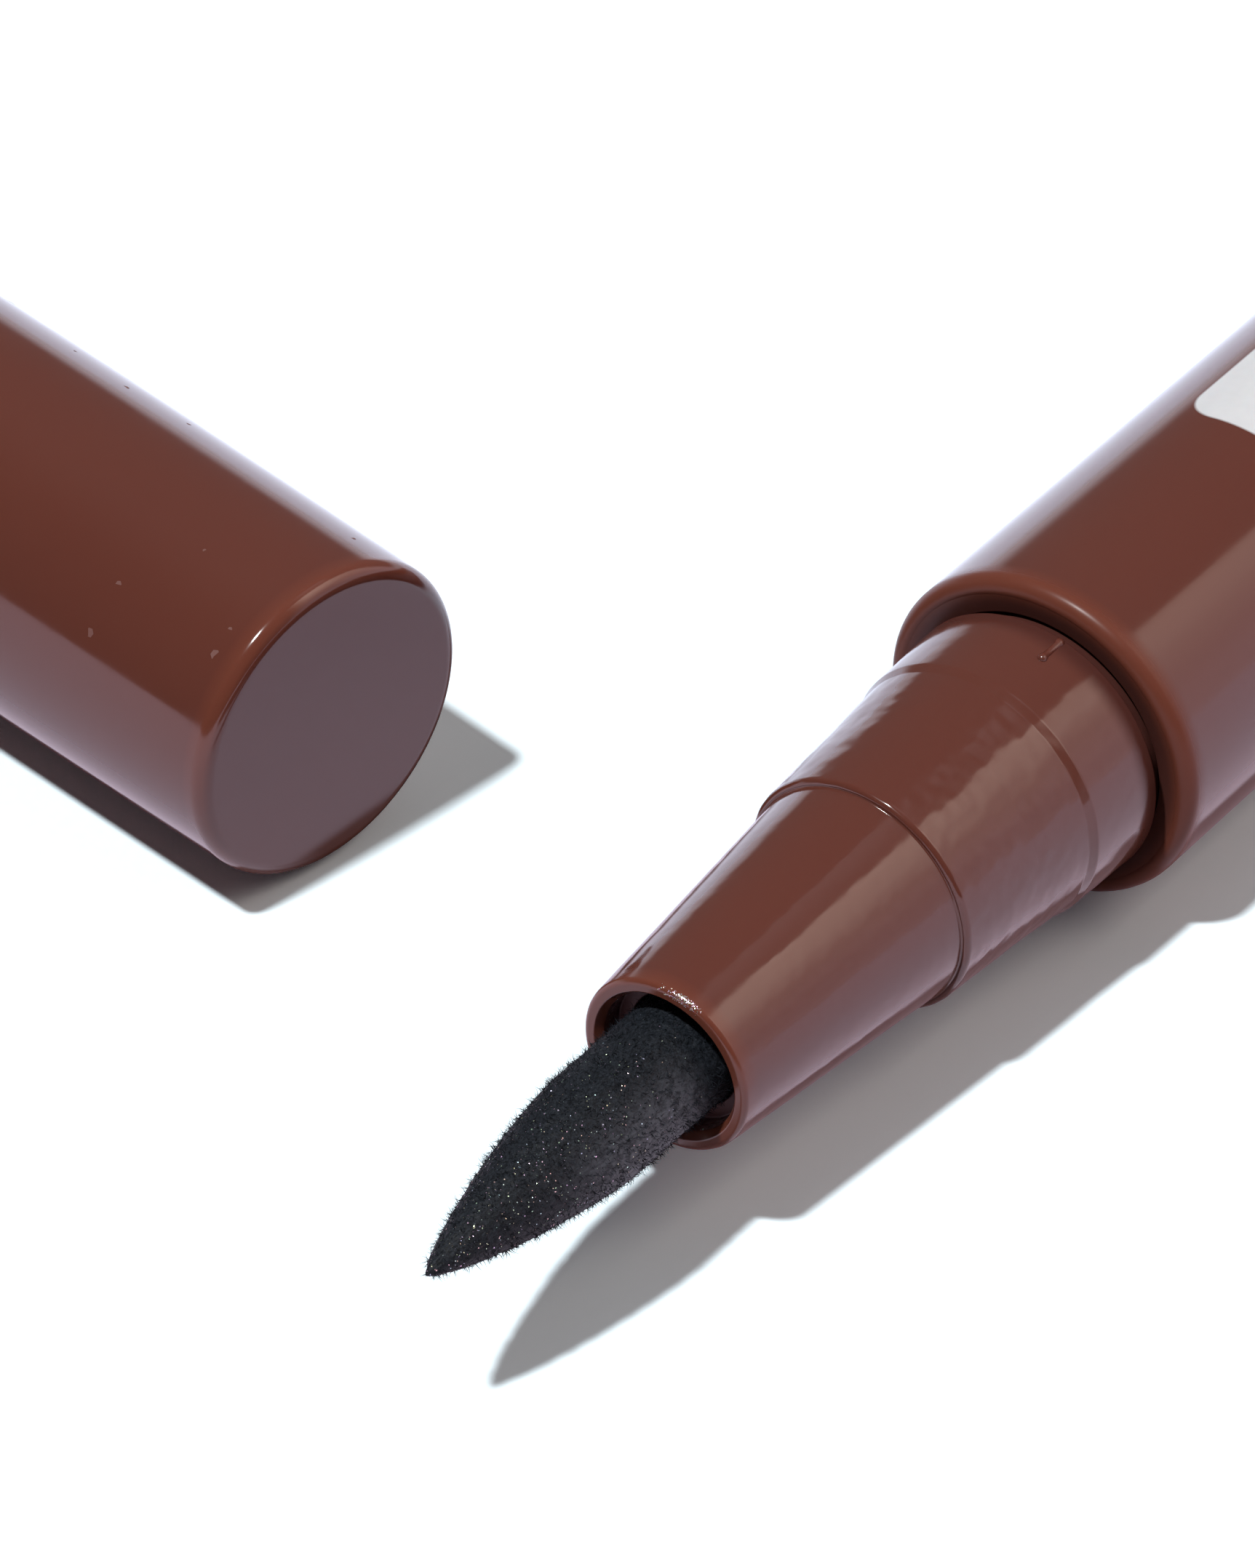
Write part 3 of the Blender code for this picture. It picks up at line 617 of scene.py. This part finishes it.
def make_tail_plug(material):
    corners = [
        (0, TAIL_END_X, 0),
        (BARREL_RADIUS, TAIL_END_X, 0.00036),
        (BARREL_RADIUS, TAIL_HEAD_X, 0.00008),
        (0.0039, TAIL_HEAD_X, 0),
        (0.0039, TAIL_STEM_X, 0.0002),
        (0.0030, TAIL_STEM_X, 0),
        (0.0030, TAIL_HEAD_X, 0),
        (0, TAIL_HEAD_X, 0),
    ]
    return spun("tail_plug_body", rounded(corners), ON_PEN, material)


def cap_radius(place_s):
    share = max(0, 1 - place_s / CAP_TAPER_S)
    return BARREL_RADIUS - CAP_TAPER * share**2


def make_cap(material):
    """A cap that narrows towards its closed end, with a stepped bore."""
    corners = [
        (0, 0.0013, 0),
        (0.00391, 0.0013, 0.0002),
        (0.00391, 0.00772, 0),
        (0.00441, 0.00772, 0),
        (0.00441, 0.0308, 0),
        (0.00465, 0.0308, 0),
        (0.00465, CAP_LENGTH, 0.00014),
        (BARREL_RADIUS, CAP_LENGTH, 0.00014),
        (BARREL_RADIUS, 0.030, 0),
    ]
    points = rounded(corners)
    for number in range(CAP_RINGS):
        place_s = CAP_TAPER_S - number * CAP_RING_STEP
        points.append((cap_radius(place_s), place_s))
    edge = [
        (cap_radius(CAP_RING_STEP), CAP_RING_STEP, 0),
        (cap_radius(0), 0, 0.0005),
        (0.004, 0, 0),
    ]
    points += rounded(edge, steps=10)[1:]
    points.append((0, 0))
    return spun("cap_body", points, ON_CAP, material)


def make_liner(material):
    corners = [
        (0, 0.00902, 0),
        (0.0035, 0.00902, 0.0003),
        (0.0035, 0.0275, 0),
        (0.00379, 0.0305, 0.00006),
        (0.00433, 0.0305, 0.00012),
        (0.00433, 0.00802, 0.00012),
        (0, 0.00802, 0),
    ]
    return spun("cap_liner", rounded(corners), ON_CAP, material, facets=96)


def ride(obj, body, node):
    """Puts a piece on its body, in place of a CAD node, which it hides."""
    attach(obj, body)
    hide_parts(node)


# Fibres, glitter and lint, scattered over a surface with Geometry Nodes


FIBRE_LEAN = (math.radians(12), math.radians(82))
FIBRE_SIZES = (0.45, 1.3)
FLAKE_SIZES = (0.5, 1.35)
FLAKE_THICKNESS = 0.000003


class Scatter:
    """A node tree that stands many small shapes on a surface. Its inputs are named."""

    def __init__(self, name, seed, material):
        self.tree = bpy.data.node_groups.new(name, "GeometryNodeTree")
        self.seed, self.material = seed, material
        self.tree.interface.new_socket("Geometry", in_out="OUTPUT", socket_type="NodeSocketGeometry")
        self.tree.interface.new_socket("Surface", in_out="INPUT", socket_type="NodeSocketGeometry")
        self.defaults = {}

    def number(self, name, value):
        socket = self.tree.interface.new_socket(name, in_out="INPUT", socket_type="NodeSocketFloat")
        self.defaults[socket.identifier] = value

    def start(self):
        self.given = self.tree.nodes.new("NodeGroupInput").outputs

    def node(self, kind, settings=None, **inputs):
        made = self.tree.nodes.new(kind)
        for key, value in (settings or {}).items():
            setattr(made, key, value)
        for key, value in inputs.items():
            socket = next(s for s in made.inputs if s.enabled and s.name == key.replace("_", " "))
            if isinstance(value, bpy.types.NodeSocket):
                self.tree.links.new(value, socket)
            else:
                socket.default_value = value
        return made

    def out(self, node):
        return next(s for s in node.outputs if s.enabled)

    def any_number(self, low, high, draw):
        return self.out(self.node("FunctionNodeRandomValue", {"data_type": "FLOAT"},
                                  Min=low, Max=high, Seed=self.seed + draw))

    def any_turn(self, low, high, draw):
        turn = self.node("FunctionNodeRandomValue", {"data_type": "FLOAT_VECTOR"},
                         Min=low, Max=high, Seed=self.seed + draw)
        return self.out(self.node("FunctionNodeEulerToRotation", Euler=self.out(turn)))

    def multiplied(self, first, second):
        made = self.node("ShaderNodeMath", {"operation": "MULTIPLY"})
        self.tree.links.new(first, made.inputs[0])
        self.tree.links.new(second, made.inputs[1])
        return self.out(made)

    def stand(self, shape, turns, size):
        """Ends the tree: shapes on the surface, each turned by the turns in order."""
        points = self.node("GeometryNodeDistributePointsOnFaces", Mesh=self.given["Surface"],
                           Density=self.given["Density"], Seed=self.seed)
        way = points.outputs["Rotation"]
        for turn in turns:
            way = self.out(self.node("FunctionNodeRotateRotation", {"rotation_space": "LOCAL"},
                                     Rotation=way, Rotate_By=turn))
        stood = self.node("GeometryNodeInstanceOnPoints", Points=points.outputs["Points"],
                          Instance=shape, Rotation=way, Scale=size)
        hue = self.any_number(0.0, 1.0, 9)
        kept = self.node("GeometryNodeStoreNamedAttribute",
                         {"data_type": "FLOAT", "domain": "INSTANCE"},
                         Geometry=self.out(stood), Name="hue", Value=hue)
        real = self.node("GeometryNodeRealizeInstances", Geometry=self.out(kept))
        done = self.node("GeometryNodeSetMaterial", Geometry=self.out(real), Material=self.material)
        end = self.tree.nodes.new("NodeGroupOutput")
        self.tree.links.new(self.out(done), end.inputs["Geometry"])

    def settle(self, name, surface):
        """Runs the tree on a surface mesh and leaves a plain mesh."""
        host = placed(name + "_host", surface)
        modifier = host.modifiers.new("scatter", "NODES")
        modifier.node_group = self.tree
        for identifier, value in self.defaults.items():
            modifier[identifier] = value
        depsgraph = bpy.context.evaluated_depsgraph_get()
        mesh = bpy.data.meshes.new_from_object(host.evaluated_get(depsgraph), depsgraph=depsgraph)
        mesh.name = name
        host.modifiers.remove(modifier)
        bpy.data.objects.remove(host)
        return placed(name, mesh)


def fibre_scatter(material):
    """Short bent fibres that lean, some nearly upright and some nearly flat."""
    s = Scatter("felt_fibres", 11, material)
    s.number("Density", 6.0e7)
    s.number("Length", 0.00020)
    s.number("Thickness", 0.000013)
    s.number("Bend", 3000.0)
    s.start()
    strand = s.node("GeometryNodeMeshCone", {"fill_type": "NGON"}, Vertices=3, Side_Segments=2,
                    Radius_Top=0.0, Radius_Bottom=s.given["Thickness"], Depth=s.given["Length"])
    place = s.node("GeometryNodeInputPosition")
    height = s.node("ShaderNodeSeparateXYZ", Vector=s.out(place)).outputs["Z"]
    aside = s.multiplied(s.multiplied(height, height), s.given["Bend"])
    shift = s.node("ShaderNodeCombineXYZ", X=aside)
    bent = s.node("GeometryNodeSetPosition", Geometry=strand.outputs["Mesh"], Offset=s.out(shift))
    spin = s.any_turn((0, 0, 0), (0, 0, math.tau), 1)
    lean = s.any_turn((FIBRE_LEAN[0], 0, 0), (FIBRE_LEAN[1], 0, 0), 2)
    roll = s.any_turn((0, 0, 0), (0, 0, math.tau), 3)
    s.stand(s.out(bent), (spin, lean, roll), s.any_number(*FIBRE_SIZES, 4))
    return s


def flake_scatter(name, material, seed, density, radius, tilt):
    """Thin six-sided flakes on a surface, tilted twice at random by up to some degrees."""
    s = Scatter(name, seed, material)
    s.number("Density", density)
    s.number("Radius", radius)
    s.start()
    flake = s.node("GeometryNodeMeshCylinder", {"fill_type": "NGON"}, Vertices=6,
                   Radius=s.given["Radius"], Depth=FLAKE_THICKNESS)
    angle = math.radians(tilt)
    first = s.any_turn((-angle, -angle, 0), (angle, angle, math.tau), 1)
    second = s.any_turn((-angle, -angle, 0), (angle, angle, 0), 2)
    s.stand(flake.outputs["Mesh"], (first, second), s.any_number(*FLAKE_SIZES, 4))
    return s


def patch(obj, name, wanted):
    """A copy of the faces of a piece whose middles are wanted."""
    shape = bmesh.new()
    shape.from_mesh(obj.data)
    unwanted = [face for face in shape.faces if not wanted(face.calc_center_median())]
    bmesh.ops.delete(shape, geom=unwanted, context="FACES")
    mesh = bpy.data.meshes.new(name)
    shape.to_mesh(mesh)
    shape.free()
    return mesh


def along_pen(place):
    """The place along the pen, the distance from its axis and the angle round it."""
    out = place - PEN_PLACE
    return out.x, out.yz.length, math.atan2(-out.y, out.z)


# Where fibres, glitter and lint lie. A share that sinks away from a middle is set against
# noise, so that the glitter thins out.
BARE_FELT_X = -0.0176
SPARKLE_SHARE = 0.3
SPARKLE_X = -0.026
SPARKLE_LOSS_PER_METRE = 90
SPARKLE_ANGLE = 0.1
SPARKLE_LOSS_PER_RADIAN = 0.2
SPARKLE_GRAIN = 40000
LIP_TOP_X = -0.01866
LIP_TOP_RADIUS = 0.00266
LIP_TOP_SHARE = 0.55
LIP_TOP_DEGREES = 11
LIP_TOP_SPREAD = 16
LIP_TOP_GRAIN = 15000
BORE_WALL_X = (-0.0186, -0.0176)
BORE_WALL_RADII = (0.0023, 0.00235)
LINT_S = (0.0012, 0.02)
LINT_HEIGHT = 0.002
LINT_RADIUS = 0.005


def on_bare_felt(place):
    return along_pen(place)[0] < BARE_FELT_X


def on_sparkling_felt(place):
    """Thins out towards the nozzle and away from the top of the nib."""
    x, radius, angle = along_pen(place)
    along_loss = (x - SPARKLE_X) * SPARKLE_LOSS_PER_METRE
    round_loss = abs(angle - SPARKLE_ANGLE) * SPARKLE_LOSS_PER_RADIAN
    share = SPARKLE_SHARE - along_loss - round_loss
    return on_bare_felt(place) and share > noise.noise(place * SPARKLE_GRAIN)


def on_lip_top(place):
    """A ragged patch that thins out away from its middle."""
    x, radius, angle = along_pen(place)
    share = LIP_TOP_SHARE - abs(math.degrees(angle) - LIP_TOP_DEGREES) / LIP_TOP_SPREAD
    on_lip = x < LIP_TOP_X and radius > LIP_TOP_RADIUS
    return on_lip and share > noise.noise(place * LIP_TOP_GRAIN)


def in_bore(place):
    x, radius = along_pen(place)[:2]
    on_wall = BORE_WALL_RADII[0] < radius < BORE_WALL_RADII[1]
    return on_wall and BORE_WALL_X[0] < x < BORE_WALL_X[1]


def on_cap_side(place):
    """The upper side of the cap's closed half."""
    out = place - CAP_PLACE
    out.rotate(Matrix.Rotation(-CAP_YAW, 3, "Z"))
    return LINT_S[0] < out.x < LINT_S[1] and out.z > LINT_HEIGHT and out.yz.length > LINT_RADIUS


barrel_material = barrel_gloss()
nozzle_material = nozzle_gloss()
cap_gloss = brown_gloss("cap_brown_gloss", CAP_PLACE, -CAP_YAW, smooth=0.09, rough=0.15,
                        orange_peel=0.0000012, rim=(0.00004, 0.0004), rim_rough=0.0)
rib_gloss = brown_gloss("rib_brown_gloss", PEN_PLACE, 0.0, smooth=0.2, rough=0.28,
                        orange_peel=0.0000003, rim=(-1.0, -0.9), rim_rough=0.0)
felt_material = felt()
glitter_material = glitter()
natural = plain("natural_plastic", NATURAL_PLASTIC, roughness=0.4)
comb = plain("comb_plastic", COMB_PLASTIC, roughness=0.35)
fibre = plain("wick_fibre", WICK_FIBRE, roughness=0.85, scale=6000.0)
steel = plain("ball_steel", BALL_STEEL, roughness=0.12, scale=3000.0, Metallic=1.0)

nozzle = make_nozzle(nozzle_material)
felt_nib = make_nib(felt_material)
cap = make_cap(cap_gloss.material)
ride(make_barrel(barrel_material), "pen", "barrel")
ride(nozzle, "pen", "nozzle")
key_rib = make_key_rib(rib_gloss.material)
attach(key_rib, "pen")
ride(make_tail_plug(barrel_material), "pen", "tail_plug")
ride(felt_nib, "pen", "nib")
ride(cap, "cap", "cap_shell")
ride(make_liner(natural), "cap", "inner_cap")

bare_felt = patch(felt_nib, "bare_felt", on_bare_felt)
nib_fibres = fibre_scatter(loose_fibre()).settle("nib_fibres", bare_felt)
nib_flakes = flake_scatter("nib_flakes", glitter_material, seed=23,
                           density=3.0e7, radius=0.00002, tilt=20)
nib_glitter = nib_flakes.settle("nib_glitter", patch(felt_nib, "sparkling_felt", on_sparkling_felt))
lip_flakes = flake_scatter("lip_flakes", glitter_material, seed=31,
                           density=9.0e8, radius=0.000012, tilt=9)
lip_glitter = lip_flakes.settle("lip_glitter", patch(nozzle, "lip_top", on_lip_top))
bore_flakes = flake_scatter("bore_flakes", glitter_material, seed=37,
                            density=4.0e6, radius=0.000014, tilt=45)
bore_glitter = bore_flakes.settle("bore_glitter", patch(nozzle, "bore_wall", in_bore))
for scattered in (nib_fibres, nib_glitter, lip_glitter, bore_glitter):
    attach(scattered, "pen")
dust = flake_scatter("cap_lint", lint(), seed=41, density=8.0e4, radius=0.00012, tilt=3)
cap_dust = dust.settle("cap_dust", patch(cap, "cap_side", on_cap_side))
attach(cap_dust, "cap")

for node_name, node_material in (
    ("nib_holder", natural),
    ("tank_plug", natural),
    ("ink_tank", natural),
    ("collector", comb),
    ("wick", fibre),
    ("mixing_ball", steel),
):
    node_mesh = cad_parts[node_name].data
    node_mesh.materials.clear()
    node_mesh.materials.append(node_material)


# Floor, light and camera


# The floor that the camera sees, the floor that the gloss mirrors and the floor that
# lights the pieces differ in colour
FLOOR_HALF_WIDTH = 4.0
FLOOR_SHOWN = (1.02, 1.20, 1.28, 1)
FLOOR_MOTTLE = 0.015
FLOOR_MIRRORED = (1.03, 0.90, 1.10, 1)
FLOOR_MIRRORED_BEYOND = (1.14, 1.26, 1.52, 1)
# Painted shade near the cap and painted shadow in front of its end, seen only in reflections
FLOOR_MIRRORED_PAINTED_SHADE = (0.90, 0.83, 1.04, 1)
FLOOR_MIRRORED_PAINTED_SHADOW = (0.20, 0.16, 0.18, 1)
FLOOR_GIVING = (0.44, 0.44, 0.44, 1)

# The mirrored floor's parts: painted shade near the cap, beyond it to the right and the back, and a
# band of painted shadow in contact with it, which is placed ahead of the cap's end and aside to its
# right
NEAR_MIDDLE = (-0.038, -0.0145, 0)
NEAR_FADE = (0.004, 0.012)
BEYOND_RIGHT = (-0.037, -0.027)
BEYOND_BACK = (-0.025, -0.018)
CONTACT_AHEAD = (0.0008, 0.0012)
CONTACT_ASIDE = (-0.003, 0.0005)
CONTACT_SLANT = 0.08
CONTACT_FADE = (0.008, 0.014)


def painted_shadow_band(w, where):
    """1 on the narrow band of painted shadow on the floor in front of the cap's end."""
    from_cap = w.vectors("SUBTRACT", where, (CAP_PLACE.x, CAP_PLACE.y, 0))[0]
    ahead = w.along(from_cap, (-math.cos(CAP_YAW), -math.sin(CAP_YAW), 0))
    aside = w.along(from_cap, (math.sin(CAP_YAW), -math.cos(CAP_YAW), 0))
    reach = w.sums("SUBTRACT", ahead, w.product(aside, CONTACT_SLANT))
    return w.product(w.fall(reach, CONTACT_AHEAD), w.rise(aside, CONTACT_ASIDE))


def mirrored_floor(w, where):
    """The floor's colour in reflections, which follows the photographer's surroundings, with painted
    shade near the cap and painted shadow in front of its end.
    """
    off = w.vectors("DISTANCE", where, NEAR_MIDDLE)["Value"]
    places = w.node("SeparateXYZ", Vector=where).outputs
    beyond = w.product(w.rise(places[0], BEYOND_RIGHT), w.rise(places[1], BEYOND_BACK))
    open_floor = w.mix(beyond, FLOOR_MIRRORED, FLOOR_MIRRORED_BEYOND)
    lit = w.mix(w.rise(off, NEAR_FADE), FLOOR_MIRRORED_PAINTED_SHADE, open_floor)
    beside = w.product(painted_shadow_band(w, where), w.fall(off, CONTACT_FADE, smooth=False))
    return w.mix(beside, lit, FLOOR_MIRRORED_PAINTED_SHADOW)


def make_floor():
    mesh = bpy.data.meshes.new("table_top")
    half = FLOOR_HALF_WIDTH
    corners = [(-half, -half, 0), (half, -half, 0), (half, half, 0), (-half, half, 0)]
    mesh.from_pydata(corners, [], [(0, 1, 2, 3)])
    floor = placed("table_top", mesh)
    material = bpy.data.materials.new("white_table")
    material.use_nodes = True
    material.node_tree.nodes.clear()
    w = Wiring(material.node_tree)
    where = w.node("TexCoord").outputs["Object"]
    fleck = w.spread(w.grain(where, 2600.0, 3.0), 0.0, 1.0)
    shown = w.node("BsdfDiffuse", Color=w.mix(
        fleck,
        tuple(c * (1 - FLOOR_MOTTLE) for c in FLOOR_SHOWN),
        tuple(c * (1 + FLOOR_MOTTLE) for c in FLOOR_SHOWN),
    ))
    mirrored = w.node("BsdfDiffuse", Color=mirrored_floor(w, where))
    giving = w.node("BsdfDiffuse", Color=FLOOR_GIVING)
    path = w.node("LightPath").outputs
    in_gloss = w.sums("MAXIMUM", path["Is Glossy Ray"], path["Is Transmission Ray"])
    bounced = w.node("MixShader", Fac=in_gloss)
    w.feed(bounced.inputs[1], giving.outputs[0])
    w.feed(bounced.inputs[2], mirrored.outputs[0])
    seen = w.node("MixShader", Fac=path["Is Camera Ray"])
    w.feed(seen.inputs[1], bounced.outputs[0])
    w.feed(seen.inputs[2], shown.outputs[0])
    w.node("OutputMaterial", Surface=seen.outputs[0])
    mesh.materials.append(material)


# The world's edges: a direction, and the two places along it between which light fades in
CARD_TOP = ((0, -1, -0.45), (-0.01, 0.02))
CARD_FRONT = ((-0.31, -0.95, 0), (-0.05, 0.12))
CARD_RIGHT = ((0.985, 0.174, 0), (-0.1, 0.15))
GLOW_SIDE = ((0.7, 0.7, 0), (0.1, 0.4))
VEIL_FRONT = ((0, -1, 0), (-0.02, 0.02))
VEIL_END = ((-1, 0, 0), (-0.554, -0.536))
VEIL_START = ((1, 0, 0), (0.05, 0.3))

# Its brightness, with the heights or the places between which it changes
WORLD_LEVEL = 0.92
CARD_LEVEL = 1.08
CARD_LEVEL_RISE = 1.6
CARD_FULL_HEIGHT = 0.78
CARD_CLOUDS = (0.78, 1.22)
ROOM_LEVELS = (0.04, 0.16)
ROOM_RIGHT = (-0.4, 0.3)
GLOW_LEVEL = 1.2
GLOW_HEIGHTS = (0.05, 0.17)
VEIL_LEVELS = (0.5, 0.12)
VEIL_AHEAD = (0.0, 0.35)
CARD_COLOURS = ((1.06, 0.80, 0.89, 1), (1.0, 0.82, 0.72, 1))
CARD_COLOUR_HEIGHTS = (0.1, 0.75)
REST_COLOURS = ((0.9, 0.9, 1.0, 1), (0.97, 0.94, 0.98, 1))
REST_COLOUR_HEIGHTS = (0.05, 0.3)


def make_world():
    """A dim room, a bright card at the front right, a low glow behind and a faint veil."""
    world = bpy.data.worlds.new("studio")
    bpy.context.scene.world = world
    world.use_nodes = True
    world.node_tree.nodes.clear()
    w = Wiring(world.node_tree)
    way = w.node("TexCoord").outputs["Generated"]
    height = w.along(way, (0, 0, 1))

    def inside(*edges):
        return w.product(*(w.rise(w.along(way, direction), ends) for direction, ends in edges))

    card = inside(CARD_TOP, CARD_FRONT, CARD_RIGHT)
    share = w.sums("DIVIDE", w.sums("MAXIMUM", height, 0.0), CARD_FULL_HEIGHT)
    brighter = w.product(w.sums("POWER", share, 3.0), CARD_LEVEL_RISE)
    cloudy = w.spread(w.grain(way, 3.5, 2.0), *CARD_CLOUDS)
    card_light = w.product(w.sums("ADD", brighter, CARD_LEVEL), cloudy, card)
    room = w.between(w.along(way, (1, 0, 0)), *ROOM_RIGHT, *ROOM_LEVELS, smooth=True)
    low_down = w.between(height, *GLOW_HEIGHTS, GLOW_LEVEL, 0.0, smooth=True)
    glow = w.product(low_down, inside(GLOW_SIDE))
    fade = w.between(w.along(way, (0, -1, 0)), *VEIL_AHEAD, *VEIL_LEVELS)
    veil = w.product(inside(VEIL_FRONT, VEIL_END), fade, inside(VEIL_START))
    room_light = w.sums("ADD", w.sums("ADD", room, glow), veil)
    rest_light = w.product(room_light, w.sums("SUBTRACT", 1.0, card))
    card_colour = w.mix(w.rise(height, CARD_COLOUR_HEIGHTS), *CARD_COLOURS)
    rest_colour = w.mix(w.rise(height, REST_COLOUR_HEIGHTS, smooth=False), *REST_COLOURS)
    card_glow = w.node("Background", Color=card_colour, Strength=w.product(card_light, WORLD_LEVEL))
    rest_glow = w.node("Background", Color=rest_colour, Strength=w.product(rest_light, WORLD_LEVEL))
    both = w.node("AddShader")
    w.feed(both.inputs[0], card_glow.outputs[0])
    w.feed(both.inputs[1], rest_glow.outputs[0])
    white = w.node("Background", Color=(1, 1, 1, 1))
    choose = w.node("MixShader", Fac=w.node("LightPath").outputs["Is Camera Ray"])
    w.feed(choose.inputs[1], both.outputs[0])
    w.feed(choose.inputs[2], white.outputs[0])
    w.node("OutputWorld", Surface=choose.outputs[0])


SUN_WAY = Vector((0.39, -0.105, -1))
SUN_ENERGY = 3.1
SUN_WIDTH = math.radians(4.0)


def make_sun():
    lamp = bpy.data.lights.new("key_lamp", "SUN")
    lamp.energy = SUN_ENERGY
    lamp.angle = SUN_WIDTH
    sun = placed("key_lamp", lamp)
    sun.rotation_mode = "QUATERNION"
    sun.rotation_quaternion = SUN_WAY.normalized().to_track_quat("-Z", "Y")


# The camera that was fitted to the photograph's outlines
CAMERA_PLACE = Vector((-0.197209, -0.132894, 0.16304))
CAMERA_LENS = 193.72
CAMERA_HEADING = math.radians(36.122)
CAMERA_FALL = math.radians(38.844)
CAMERA_ROLL = math.radians(0.677)


def make_camera():
    lens = bpy.data.cameras.new("photo_camera")
    lens.sensor_width = 36.0
    lens.lens = CAMERA_LENS
    lens.clip_start, lens.clip_end = 0.01, 20.0
    camera = placed("photo_camera", lens)
    ahead = Vector((
        math.cos(CAMERA_HEADING) * math.cos(CAMERA_FALL),
        math.sin(CAMERA_HEADING) * math.cos(CAMERA_FALL),
        -math.sin(CAMERA_FALL),
    ))
    right = Vector((math.sin(CAMERA_HEADING), -math.cos(CAMERA_HEADING), 0))
    up = right.cross(ahead)
    right, up = (
        right * math.cos(CAMERA_ROLL) + up * math.sin(CAMERA_ROLL),
        up * math.cos(CAMERA_ROLL) - right * math.sin(CAMERA_ROLL),
    )
    turn = Matrix((right, up, -ahead)).transposed()
    camera.matrix_world = Matrix.Translation(CAMERA_PLACE) @ turn.to_4x4()
    bpy.context.scene.camera = camera


make_floor()
make_world()
make_sun()
make_camera()
bpy.context.scene.view_settings.view_transform = "Standard"
